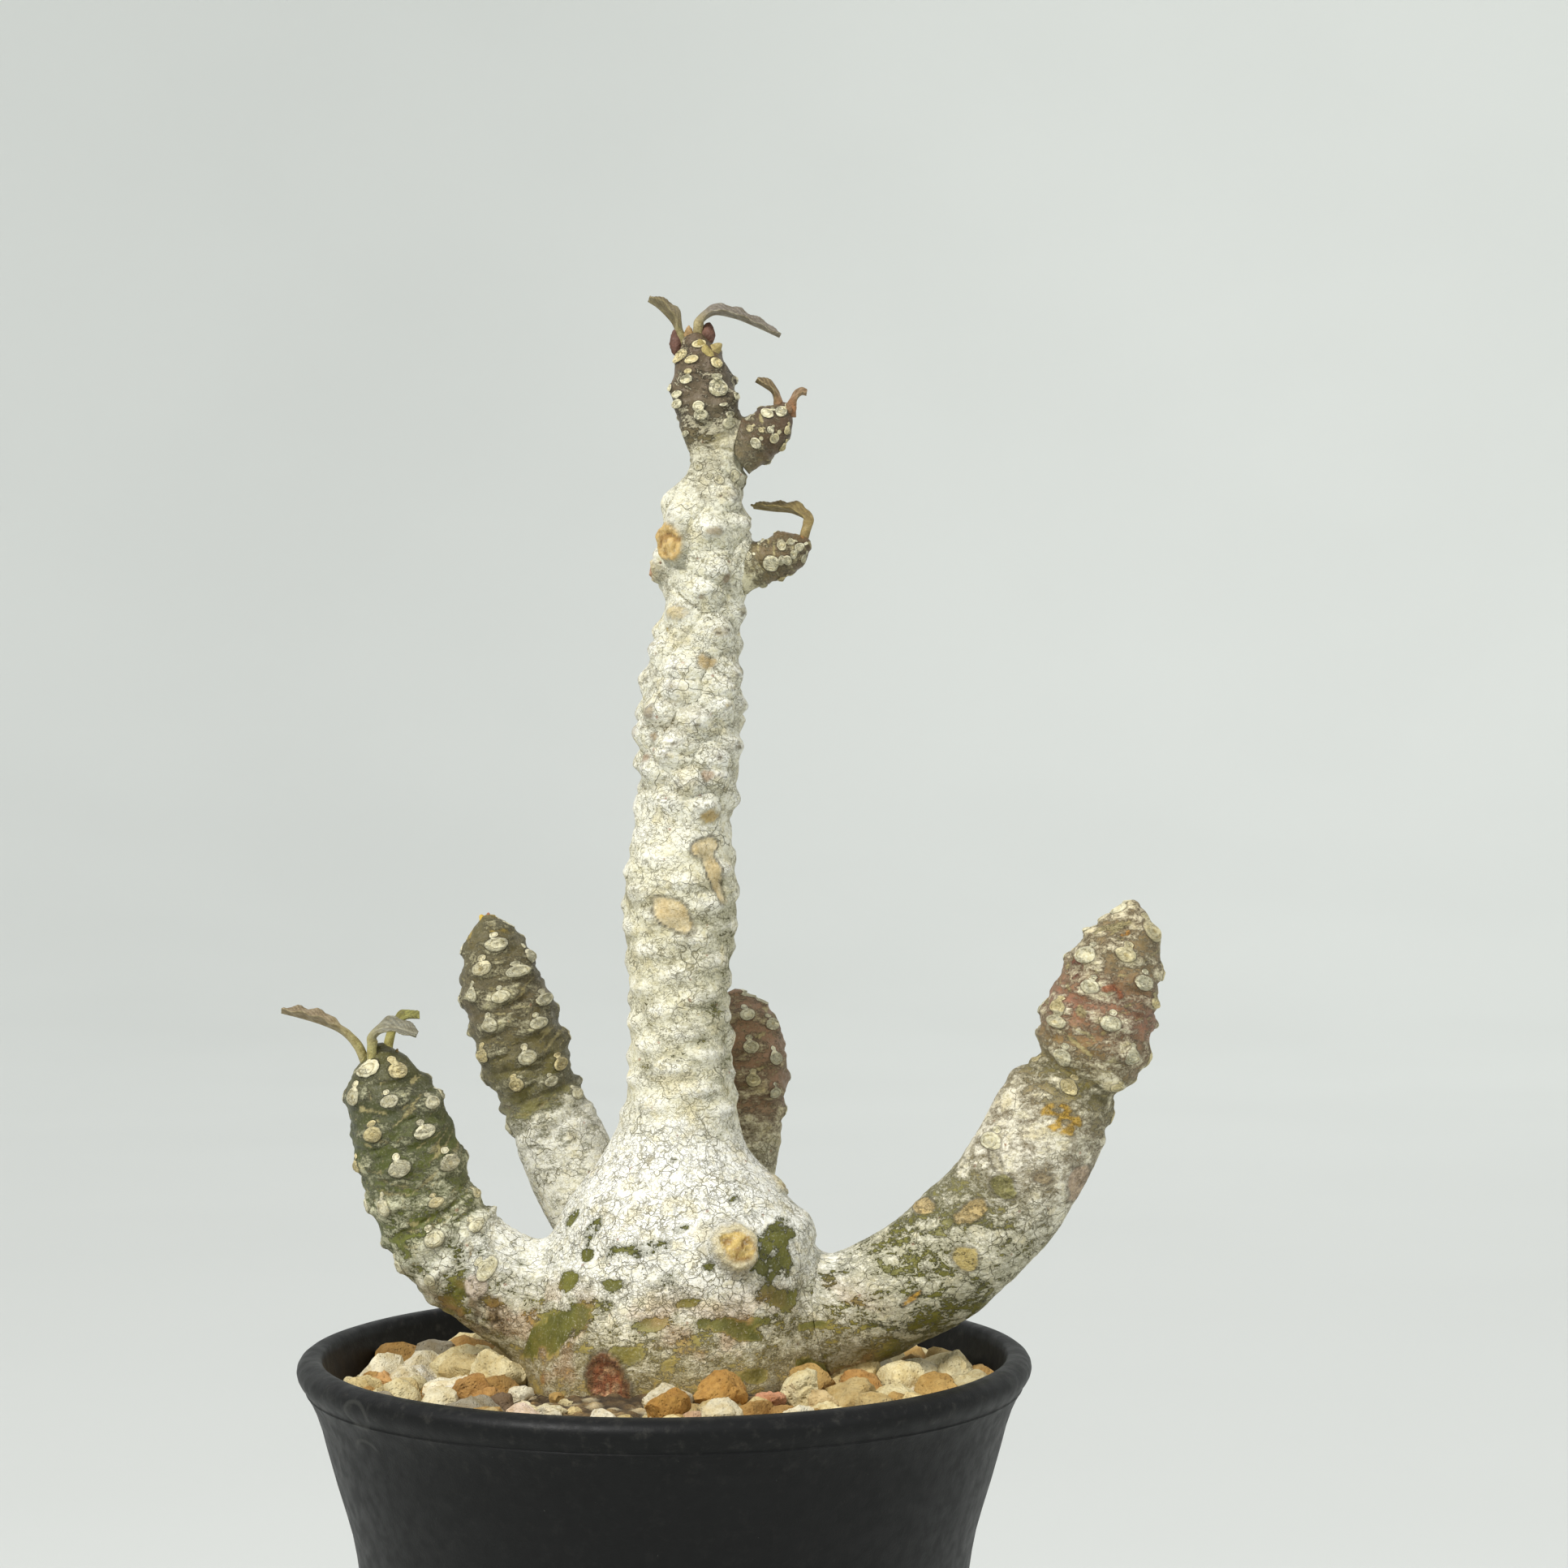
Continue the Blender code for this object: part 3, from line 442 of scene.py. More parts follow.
def seen(stem, column, row):
    """Arc length and angle of the stem's front where a photograph's pixel falls on it."""
    turn = np.radians(np.arange(-86.0, 87.0, 2.0))
    toward = np.array([0.0, -1.0, 0.0]) + stem.along[:, 1:2] * stem.along
    toward /= np.linalg.norm(toward, axis=1)[:, None]
    across = np.cross(stem.along, toward)
    out = np.cos(turn)[None, :, None] * toward[:, None] + np.sin(turn)[None, :, None] * across[:, None]
    spots = stem.path[:, None, :3] + stem.path[:, None, 3:4] * out
    scale = PIXELS_MM / (spots[..., 1] - EYE[1])
    off_x = MIDDLE + (spots[..., 0] - EYE[0]) * scale - column
    off_y = MIDDLE - (spots[..., 2] - EYE[2]) * scale - row
    i, k = np.unravel_index(np.argmin(off_x**2 + off_y**2), off_x.shape)
    return float(stem.arcs[i]), float(turn[k])


def seen_marks(name, marks):
    """Arc length, angle, half width and half height in millimetres of marks given in pixels."""
    stem = STEMS[name]
    found = []
    for column, row, width, height in marks:
        arc, turn = seen(stem, column, row)
        half = 0.5 * (stem.at(np.array([arc]))[0][0, 1] - EYE[1]) / PIXELS_MM
        wide = half * width / max(0.55, math.cos(turn))
        found.append((arc, turn, wide, half * height))
    return found


def spiral_spots(stem, first, last, pitch, taken, room):
    """Places on a golden-angle spiral from first to last that keep clear of the ones taken."""
    found = []
    index = 0
    while first + index * pitch < last:
        arc = first + index * pitch
        turn = (index * GOLDEN_ANGLE + math.pi) % TAU - math.pi
        radius = float(np.interp(arc, stem.arcs, stem.path[:, 3]))
        off = [math.hypot(((turn - t + math.pi) % TAU - math.pi) * radius, arc - a) for a, t, *_ in taken]
        if not off or min(off) > room:
            found.append((arc, turn))
        index += 1
    return found


class Surface:
    """Displacement and colours of one stem, built up layer by layer over its grid of points."""

    def __init__(self, stem, arcs, angle):
        self.stem = stem
        self.arcs = arcs
        self.angle = angle % TAU
        centre, self.radius, along, toward, across = stem.at(arcs)
        self.height = centre[:, 2]
        self.out = np.cos(angle)[:, None] * toward + np.sin(angle)[:, None] * across
        self.base = centre + self.radius[:, None] * self.out
        self.shown = np.maximum(self.radius, 0.5)
        self.lift = np.zeros(len(arcs))
        self.skin = np.zeros((len(arcs), 4))
        self.film = np.zeros((len(arcs), 4))
        self.mark = np.zeros((len(arcs), 4))
        self.disc = np.ones((len(arcs), 4))
        self.place = self.base
        self.ripple = 0.1 * noise(self.base, 0.9, 31) + 0.05 * noise(self.base, 0.4, 32)

    def offset(self, arc, turn):
        """Distance round and along the stem from a place on it."""
        du = ((self.angle - turn + math.pi) % TAU - math.pi) * self.shown
        return du, self.arcs - arc

    def oval(self, arc, turn, half_width, half_height, tilt=0.0):
        """How far out of an oval each point lies: 0 in its middle, 1 on its edge."""
        du, dv = self.offset(arc, turn)
        a = math.radians(tilt)
        x = du * math.cos(a) + dv * math.sin(a)
        y = dv * math.cos(a) - du * math.sin(a)
        return np.hypot(x / half_width, y / half_height)

    def patch(self, arc, turn, half_width, half_height, seed, soft=0.12, tilt=0.0, ragged=0.6):
        """Weight of a ragged patch."""
        r = self.oval(arc, turn, half_width, half_height, tilt)
        near = r < 2.5
        weight = np.zeros(len(r))
        p = self.base[near]
        edge = ragged * layered(p, 2.6, seed, 5, 0.62)
        weight[near] = step(1.0 - r[near] + edge, -soft, soft)
        return weight

    def paint(self, colour, weight):
        """Puts a mark colour over the earlier ones."""
        weight = np.clip(weight, 0.0, 1.0)
        self.mark[:, :3] = mix(self.mark[:, :3], np.asarray(colour, dtype=float), weight)
        self.mark[:, 3] = 1.0 - (1.0 - self.mark[:, 3]) * (1.0 - weight)

    def line(self, weight):
        """Darkens along a line: cracks, and painted shade in furrows and round the feet of stubs."""
        self.skin[:, 3] = np.maximum(self.skin[:, 3], np.clip(weight, 0.0, 1.0))

    def scar(self, arc, turn, half_width, half_height, pick, rim=0.2):
        """An oval leaf scar: a raised rim round a shallow dish. The material draws it from its own distances."""
        r = self.oval(arc, turn, half_width, half_height)
        near = r < 2.0
        r = r[near]
        r = r * (1.0 + 0.12 * noise(self.base[near], 1.5, 30))
        lift = rim * np.exp(-(((r - 0.84) / 0.2) ** 2)) + 0.1 * step(1.0 - r, -0.1, 0.2)
        self.lift[near] += lift - 0.8 * rim * step(0.7 - r, 0.0, 0.3)
        rows = self.disc[near]
        nearer = 0.5 * r < rows[:, 0]
        rows[:, 0] = np.where(nearer, 0.5 * r, rows[:, 0])
        rows[:, 1] = np.where(nearer, pick, rows[:, 1])
        self.disc[near] = rows

    def fold(self, gap, weight):
        """Marks the thin folds between cushions, where the gap between the two nearest is 0; the material paints shade
        along them.
        """
        self.disc[:, 2] = np.minimum(self.disc[:, 2], 1.0 - weight * (1.0 - np.clip(gap / 2.0, 0.0, 1.0)))


def nearest(surface, spots, narrow, flat):
    """Distances to the nearest and second nearest of the cushions, which are wider than they are high."""
    near = np.full(len(surface.arcs), 99.0)
    second = near.copy()
    for arc, turn, *_ in spots:
        du, dv = surface.offset(arc, turn)
        d = np.hypot(du * narrow, dv * flat)
        nearer = d < near
        second = np.where(nearer, near, np.minimum(second, d))
        near = np.where(nearer, d, near)
    return near, second


# Bare olive patches of the caudex read off the photograph: column, row, width, height, tilt, depth of colour.
BARE_SEEN = (
    (955, 1528, 50, 46, 20.0, 1.0), (794, 1538, 84, 20, 3.0, 0.7), (731, 1511, 22, 18, 30.0, 0.8),
    (839, 1515, 20, 8, 10.0, 0.7), (754, 1583, 26, 18, 0.0, 0.8), (722, 1546, 16, 14, 0.0, 0.7),
    (684, 1636, 64, 40, 30.0, 1.0), (903, 1638, 54, 18, -14.0, 1.0), (800, 1634, 40, 16, 8.0, 0.5),
    (1002, 1684, 40, 24, -20.0, 1.0), (870, 1560, 18, 10, 0.0, 0.8), (846, 1606, 40, 14, 10.0, 0.6),
    (968, 1600, 26, 22, 0.0, 0.6), (770, 1668, 30, 14, 0.0, 0.6), (905, 1478, 14, 6, 12.0, 0.6),
    (830, 1430, 12, 8, 0.0, 0.5), (700, 1578, 18, 24, 0.0, 0.7), (930, 1695, 40, 16, 0.0, 0.7),
)


def caudex_layers(s, share):
    """Colours that the trunk's foot and the arms' feet have in common, so that they meet without a seam."""
    p = s.place
    z = p[:, 2]
    chalk = ramp(z, ((84, linear(222, 208, 168)), (101, linear(226, 218, 188)), (107, linear(234, 229, 208)),
                     (113, linear(242, 241, 230)), (126, linear(243, 242, 233)), (240, linear(243, 242, 233))))
    cover = ramp(z, ((84, 0.56), (98, 0.57), (104, 0.62), (109, 0.74), (113, 0.9), (118, 1.04), (126, 1.06)))[:, 0]
    skin = ramp(z, ((84, linear(186, 152, 84)), (98, linear(186, 160, 90)), (103, linear(170, 152, 80)),
                    (109, linear(138, 132, 56)), (116, linear(108, 108, 36)), (124, linear(122, 120, 54)),
                    (132, linear(160, 152, 104))))
    cover = cover + 0.2 * layered(p, 8.0, 41, 3) * (1.0 - step(z, 118.0, 130.0) * 0.6)
    dip = step(layered(p * np.array((0.6, 0.6, 1.6)), 4.0, 47, 5, 0.6), 0.14, 0.42) * (1.0 - step(z, 109.0, 117.0))
    cover -= 0.34 * dip
    skin = mix(skin, linear(96, 96, 24), 0.8 * dip)
    red = step(layered(p, 5.0, 44, 4), 0.06, 0.34) * (1.0 - step(z, 106.0, 113.0))
    skin = mix(skin, linear(196, 134, 92), 0.45 * red)
    chalk = mix(chalk, linear(222, 178, 138), 0.35 * red)
    s.film[:, :3] = mix(s.film[:, :3], chalk, share)
    s.film[:, 3] = s.film[:, 3] * (1.0 - share) + cover * share
    s.skin[:, :3] = mix(s.skin[:, :3], skin, share)
    s.lift += share * (0.24 * layered(p, 4.0, 45, 3) + 0.12 * step(layered(p, 2.4, 46, 3), 0.0, 0.15))


def trunk_surface(arcs, angle):
    stem = STEMS["trunk"]
    s = Surface(stem, arcs, angle)
    z, p = s.height, s.base
    for other in ("arm_left", "arm_right", "arm_back_left", "arm_back_right"):
        s.place = joined(s.place, stem, STEMS[other], JOINS[other])

    def at(where):
        return float(np.interp(where, stem.path[:, 2], stem.arcs))

    lumps = 0.35 * np.sin(3.0 * s.angle + z / 7.0) * np.sin(z / 3.1 + s.angle)
    s.lift += np.where(z < 171.0, lumps * np.minimum(1.0, s.shown / 14.0), 0.0)
    s.lift += 0.4 * layered(p, 9.0, 3, 3) * step(z, 84.0, 96.0) * (1.0 - step(z, 165.0, 175.0))

    # The white trunk above the caudex, and the dark youngest part.
    s.film[:, :3] = ramp(z, ((126, linear(243, 242, 233)), (150, linear(240, 237, 220)), (185, linear(243, 242, 232)),
                             (219, linear(240, 238, 222)), (224, linear(226, 219, 190)), (238, linear(218, 207, 172))))
    s.film[:, 3] = ramp(z, ((126, 1.06), (140, 0.9), (165, 0.86), (176, 0.94), (215, 1.0), (221, 0.76),
                            (225, 0.54), (228, 0.42), (238, 0.38)))[:, 0]
    s.film[:, 3] += 0.16 * layered(p * np.array((1.0, 1.0, 1.6)), 6.0, 42, 3)
    s.skin[:, :3] = ramp(z, ((126, linear(156, 150, 104)), (150, linear(158, 148, 88)), (175, linear(168, 154, 108)),
                             (215, linear(160, 146, 100)), (222, linear(144, 130, 84)), (227, linear(106, 92, 68)),
                             (238, linear(96, 78, 56))))
    right = step(np.sin(s.angle - 0.1), -0.3, 0.9) * step(z, 124.0, 132.0) * (1.0 - step(z, 158.0, 172.0))
    s.film[:, 3] -= 0.14 * right
    s.skin[:, :3] = mix(s.skin[:, :3], linear(138, 136, 76), 0.7 * right)
    caudex_layers(s, 1.0 - step(z, 120.0, 131.0))

    # The caudex's bare olive patches: the ones the photograph shows, then those of the other sides.
    bare_spots = []
    for (arc, turn, wide, high), (*_, tilt, depth) in zip(seen_marks("trunk", [b[:4] for b in BARE_SEEN]), BARE_SEEN):
        bare_spots.append((arc, turn, wide, high, tilt, depth))
    for where, turn, wide, high, tilt in (
        (102.6, -80.0, 5.0, 2.4, 0.0), (112.0, 110.0, 4.0, 1.6, 10.0), (117.0, 160.0, 3.0, 1.2, 0.0),
        (108.0, 190.0, 5.0, 1.8, -8.0), (114.0, 235.0, 3.4, 1.2, 0.0), (104.0, 140.0, 5.5, 2.0, 0.0),
        (105.0, 250.0, 5.0, 1.8, 10.0), (119.0, 292.0, 2.0, 1.0, 20.0),
    ):
        bare_spots.append((at(where), math.radians(turn), wide, high, tilt, 0.8))
    for number, (arc, turn, wide, high, tilt, depth) in enumerate(bare_spots):
        bare = s.patch(arc, turn, wide, high, 400 + number, 0.3, tilt, 1.0)
        s.film[:, 3] -= (0.44 + 0.18 * depth) * bare
        s.skin[:, :3] = mix(s.skin[:, :3], linear(98, 97, 24), 0.9 * depth * step(bare, 0.1, 0.6))
        s.lift -= 0.14 * bare

    # Leaf cushions: the ones the photograph shows, and a spiral of them on the sides it doesn't.
    bumps = [mark for mark in seen_marks("trunk", CUSHIONS_SEEN)]
    scars = [mark for mark in seen_marks("trunk", SCARS_SEEN["trunk"])]
    taken = bumps + scars
    rest = spiral_spots(stem, at(172.0), at(236.0), 0.52, taken + [(at(209.4), math.radians(-44.0))], 4.6)
    rest = [(a, t, 1.7, 1.3) for a, t in rest if math.cos(t) < 0.25 or a < at(218.0)]
    low = [(a, t) for a, t in spiral_spots(stem, at(131.0), at(172.0), 0.6, taken, 4.0)]
    older = bumps + [m for m in rest if m[0] < at(221.0)]
    near, second = nearest(s, older, 0.8, 1.15)
    rise = step(z, 168.0, 176.0) * (1.0 - step(z, 219.0, 224.0))
    crest = np.exp(-((near / 1.75) ** 2))
    s.lift += rise * (1.3 * (crest - 0.4) - 0.3 * step(0.5 - (second - near), 0.0, 0.5) * (1.0 - crest))
    # Painted shade: the film is tinted darker and thinner in the hollows between the cushions.
    s.film[:, :3] = mix(s.film[:, :3], linear(206, 202, 172), 0.5 * rise * (1.0 - crest))
    s.film[:, 3] -= rise * 0.12 * (1.0 - crest)
    s.fold(second - near + 0.25 * noise(p, 1.2, 29), rise * (near < 3.4))
    near_low, _ = nearest(s, low, 0.55, 1.3)
    soft = step(z, 127.0, 134.0) * (1.0 - step(z, 166.0, 174.0))
    crest = np.exp(-((near_low / 1.6) ** 2))
    s.lift += soft * 0.75 * (crest - 0.3)
    # Painted shade and light: darker film in the hollows between the low cushions, fuller cover on their crests.
    s.film[:, :3] = mix(s.film[:, :3], linear(206, 199, 152), 0.45 * soft * (1.0 - crest))
    s.film[:, 3] += soft * 0.1 * (crest - 0.5)
    band = np.column_stack((np.sin(s.angle) * s.shown / 3.4, np.cos(s.angle) * s.shown / 3.4, s.arcs / 0.9))
    wrinkle = noise(band, 1.0, 48) + 0.5 * noise(band * 2.1, 1.0, 49)
    above = step(z, 127.0, 136.0) * (1.0 - step(z, 222.0, 226.0))
    s.lift += 0.13 * above * wrinkle
    # Painted shade and light: the film covers the raised wrinkles more fully than their hollows.
    s.film[:, 3] += 0.06 * above * wrinkle
    for arc, turn, wide, high in older:
        pick = scatter(np.array([int(arc * 10)]), np.array([int(turn * 50)]), np.array([3]), 8)[0]
        worn = s.patch(arc + 0.2 * high, turn, 0.55 * wide, 0.45 * high, int(arc * 7) % 91, 0.5, 12.0, 1.6)
        tone = (linear(196, 174, 122), linear(200, 178, 150), linear(184, 164, 108))[int(pick * 2.99)]
        s.paint(tone, (0.2 + 0.5 * pick) * worn * step(noise(p, 0.9, 56), -0.3, 0.3))
        s.line(0.8 * worn * step(noise(p, 0.6, 57), 0.35, 0.55))
    young = scars + [(a, t, 0.95, 0.75) for a, t, *_ in rest if a > at(222.0)]
    near, second = nearest(s, young, 0.8, 1.2)
    rise = step(z, 221.0, 226.0)
    s.lift += rise * 0.8 * (np.exp(-((near / 1.4) ** 2)) - 0.35)
    s.lift += rise * 0.16 * noise(band * np.array((1.0, 1.0, 0.8)), 1.0, 50)
    for arc, turn, wide, high in young:
        s.scar(arc, turn, wide, high, 0.25 if arc < at(233.0) else 0.8, 0.22)

    # Peeled flakes and yellow spots.
    flakes, rims = np.zeros(len(z)), np.zeros(len(z))
    for (arc, turn, wide, high), tilt in zip(seen_marks("trunk", [f[:4] for f in FLAKES_SEEN]), [f[4] for f in FLAKES_SEEN]):
        inner = s.patch(arc, turn, wide, high, 83, 0.08, tilt, 0.4)
        outer = s.patch(arc, turn, wide + 0.25, high + 0.25, 83, 0.08, tilt, 0.4)
        s.paint(linear(224, 208, 168), inner)
        s.paint(linear(198, 172, 118), 0.5 * inner * step(noise(p, 1.4, 84), 0.0, 0.4))
        flakes = np.maximum(flakes, inner)
        rims = np.maximum(rims, outer)
        s.lift -= 0.2 * inner
    s.line(0.95 * (rims - flakes))
    for where, turn, wide, high, tone in (
        (173.0, 37.0, 1.9, 1.2, linear(222, 186, 100)), (199.9, -37.0, 2.2, 1.7, linear(226, 204, 146)),
        (197.6, -52.0, 0.8, 0.7, SCAR_YELLOW), (193.8, 16.0, 2.0, 1.2, linear(204, 170, 100)),
        (98.1, -56.0, 0.9, 0.8, linear(226, 160, 70)),
        (204.9, 31.0, 0.8, 0.9, BROWN), (202.3, -2.0, 0.9, 0.4, BROWN), (211.1, 14.0, 1.3, 0.8, linear(168, 146, 106)),
        (186.4, -48.0, 1.6, 1.1, linear(170, 150, 124)), (183.6, -46.0, 1.3, 0.9, linear(172, 142, 96)),
        (178.6, 22.0, 1.2, 1.1, linear(176, 138, 100)), (180.4, -60.0, 1.2, 0.8, linear(176, 142, 110)),
    ):
        spot = s.patch(at(where), math.radians(turn), 0.8 * wide, 0.8 * high, int(where), 0.35, 0.0, 1.3)
        s.paint(tone, 0.75 * spot)
    for where, turn, wide, tilt in ((223.6, -4.0, 3.0, 4.0), (222.4, 22.0, 2.4, -14.0), (224.2, 10.0, 1.8, 0.0)):
        crease = np.exp(-((s.oval(at(where), math.radians(turn), wide, 0.28, tilt) / 0.8) ** 2))
        s.paint(linear(150, 138, 66), 0.75 * crease)
        s.line(0.6 * crease * step(noise(p, 0.9, 58), -0.2, 0.3))

    # Cut stubs with rough tops, and the caudex's healed wound.
    for where, turn, wide, high, stand, top, crown_size in (
        (209.6, -46.0, 2.5, 2.7, 0.9, linear(206, 176, 116), 1.02),
        (115.9, 24.0, 3.0, 3.0, 2.5, linear(214, 186, 116), 0.76),
        (122.6, 84.0, 1.6, 1.5, 1.0, linear(206, 196, 160), 0.7),
        (206.0, -90.0, 1.4, 1.6, 1.2, linear(206, 168, 140), 0.8),
    ):
        r = s.oval(at(where), math.radians(turn), wide, high)
        r = r + 0.12 * noise(p, 1.1, 33) + 0.07 * noise(p, 0.5, 34)
        body = step(1.22 - r, 0.0, 0.42)
        crown = step(crown_size - r, 0.0, 0.14)
        s.lift = s.lift * (1.0 - body) + stand * body
        curls = np.sin(9.0 * r + 3.0 * noise(p, 1.2, 37))
        s.lift += crown * (0.34 * noise(p, 0.8, 35) + 0.2 * curls - 0.1)
        s.paint(linear(228, 214, 170), 0.9 * body * (1.0 - crown))
        s.paint(top, crown)
        s.paint(linear(150, 112, 58), 0.75 * crown * step(noise(p, 0.7, 36) - 0.3 * curls, 0.15, 0.5))
        # Painted shadow: a dark ring round the foot of each stub.
        s.line(0.35 * np.exp(-(((r - 1.25) / 0.1) ** 2)))
        s.line(0.5 * crown * step(-curls, 0.6, 1.0) * step(noise(p, 0.9, 39), 0.1, 0.4))
    r = s.oval(*seen(stem, 751, 1706), 2.7, 3.7, 28.0) * (1.0 + s.ripple)
    s.lift += 0.4 * np.exp(-(((r - 1.0) / 0.2) ** 2)) - 0.4 * step(0.85 - r, 0.0, 0.4)
    s.paint(linear(176, 136, 82), step(1.2 - r, 0.0, 0.2))
    s.paint(linear(96, 52, 30), 0.9 * np.exp(-(((r - 0.9) / 0.13) ** 2)))
    s.paint(linear(166, 104, 66), step(0.82 - r, 0.0, 0.12))
    s.paint(linear(214, 176, 132), 0.8 * step(0.78 - r, 0.0, 0.15) * step(noise(p * np.array((1.6, 1.6, 0.7)), 0.8, 38), 0.05, 0.3))
    s.paint(linear(186, 104, 54), 0.55 * step(0.5 - r, 0.0, 0.3) * step(noise(p, 1.3, 40), 0.0, 0.4))
    s.line(0.7 * np.exp(-(((r - 1.12) / 0.08) ** 2)))
    s.fine = 0.06 * layered(p, 0.9, 51, 3)
    return s


def trunk_skin(material):
    """The caudex on a wide grid and the trunk on a narrow one, stitched where they meet."""
    stem = STEMS["trunk"]
    meet, cushions, young = np.interp((127.0, 170.0, 219.0), stem.path[:, 2], stem.arcs)
    low = grid(runs((0.0, 0.8), (8.0, 0.41), (meet, 0.0)), 320)
    high = grid(runs((meet + 0.36, 0.38), (cushions, 0.32), (young, 0.2), (stem.length + stem.cap, 0.0)), 160)
    parts, polygons, foot = [], [], 0
    for arcs, angle, faces, rings in (low, high):
        s = trunk_surface(arcs, angle)
        sides = len(arcs) // rings
        points = s.base + s.lift[:, None] * s.out
        for other, width in JOINS.items():
            points = joined(points, stem, STEMS[other], width)
        points = points + s.fine[:, None] * grid_normals(points, rings, sides)
        parts.append((points, s.skin, s.film, s.mark, s.disc))
        polygons += (faces + foot).tolist()
        foot += len(arcs)
    points, skin, film, mark, disc = (np.vstack([p[k] for p in parts]) for k in range(5))
    a, b = len(low[0]) - 320, len(low[0])
    for k in range(160):
        n = (k + 1) % 160
        polygons += [[a + 2 * k, a + 2 * k + 1, b + k], [a + 2 * k + 1, b + n, b + k]]
        polygons.append([a + 2 * k + 1, a + (2 * k + 2) % 320, b + n])
    last = len(points)
    points = np.vstack((points, points[:320].mean(axis=0), points[-160:].mean(axis=0)))
    skin, film, mark, disc = (np.vstack((v, v[:1], v[-1:])) for v in (skin, film, mark, disc))
    for k in range(320):
        polygons.append([last, (k + 1) % 320, k])
    for k in range(160):
        polygons.append([last + 1, last - 160 + k, last - 160 + (k + 1) % 160])
    colours = {"skin": skin, "film": film, "mark": mark, "disc": disc}
    return piece("trunk_skin", points, polygons, colours, material, "trunk")


# Looks of the arms and shoots along their length: film colour, film cover and skin colour at arc lengths.
ARM_LOOKS = {
    "arm_left": {
        "film": ((0, (232, 229, 208)), (24, (230, 227, 204)), (30, (216, 214, 184)), (40, (208, 206, 172)), (60, (202, 198, 160))),
        "cover": ((0, 0.7), (22, 0.76), (28, 0.66), (36, 0.6), (41, 0.44), (60, 0.34)),
        "skin": ((0, (124, 122, 44)), (22, (124, 122, 44)), (30, (110, 114, 40)), (40, (82, 88, 22)), (48, (66, 68, 26)), (60, (112, 104, 50))),
        "foot": (20.0, 30.0), "low": 22.0, "pitch": 0.56, "scars": 24.0, "last": 50.0,
        "slot": "young_bark", "sides": 170, "size": (1.15, 0.85),
    },
    "arm_right": {
        "film": ((0, (232, 226, 198)), (25, (234, 230, 206)), (45, (232, 226, 206)), (58, (228, 220, 190)), (90, (226, 214, 180))),
        "cover": ((0, 0.6), (15, 0.56), (25, 0.54), (34, 0.58), (44, 0.72), (50, 0.74), (56, 0.5), (62, 0.56), (90, 0.66)),
        "skin": ((0, (110, 106, 34)), (24, (118, 114, 40)), (36, (136, 128, 62)), (43, (164, 146, 104)), (50, (166, 146, 108)), (57, (124, 112, 50)), (63, (150, 116, 74)), (67, (158, 104, 74)), (74, (140, 116, 74)), (90, (156, 132, 90))),
        "foot": (11.0, 20.0), "low": 26.0, "pitch": 0.56, "scars": 55.0, "last": 84.0,
        "slot": "red_bark", "sides": 176, "size": (1.15, 0.85),
    },
    "arm_back_left": {
        "film": ((0, (226, 223, 204)), (26, (234, 232, 218)), (34, (208, 202, 168)), (60, (204, 196, 158))),
        "cover": ((0, 0.88), (22, 0.86), (27, 0.8), (30, 0.48), (60, 0.44)),
        "skin": ((0, (150, 146, 88)), (28, (144, 138, 86)), (33, (112, 104, 54)), (45, (102, 88, 52)), (60, (98, 90, 48))),
        "foot": (10.0, 14.0), "low": 16.0, "pitch": 0.54, "scars": 28.0, "last": 56.0,
        "slot": "young_bark", "sides": 150, "size": (1.2, 0.85),
    },
    "arm_back_right": {
        "film": ((0, (214, 208, 170)), (18, (218, 212, 184)), (30, (206, 192, 154)), (50, (198, 182, 140))),
        "cover": ((0, 0.5), (14, 0.7), (24, 0.7), (30, 0.5), (50, 0.42)),
        "skin": ((0, (126, 124, 56)), (14, (142, 134, 82)), (28, (146, 110, 78)), (50, (138, 104, 70))),
        "foot": (10.0, 14.0), "low": 16.0, "pitch": 0.54, "scars": 26.0, "last": 44.0,
        "slot": "red_bark", "sides": 150, "size": (1.1, 0.85),
    },
    "shoot_upper": {
        "film": ((0, (214, 206, 172)), (12, (196, 182, 140))),
        "cover": ((0, 0.55), (3, 0.4), (12, 0.34)),
        "skin": ((0, (126, 112, 78)), (4, (94, 74, 48)), (12, (88, 62, 38))),
        "foot": (0.0, 1.0), "low": 0.0, "pitch": 0.5, "scars": 2.6, "last": 9.2,
        "slot": "dark_bark", "sides": 96, "size": (0.7, 0.6),
    },
    "shoot_lower": {
        "film": ((0, (218, 212, 180)), (12, (200, 188, 146))),
        "cover": ((0, 0.74), (3.5, 0.5), (12, 0.36)),
        "skin": ((0, (146, 136, 94)), (5, (116, 96, 60)), (12, (98, 74, 44))),
        "foot": (0.0, 1.0), "low": 0.0, "pitch": 0.5, "scars": 2.2, "last": 10.2,
        "slot": "dark_bark", "sides": 96, "size": (0.65, 0.58),
    },
}


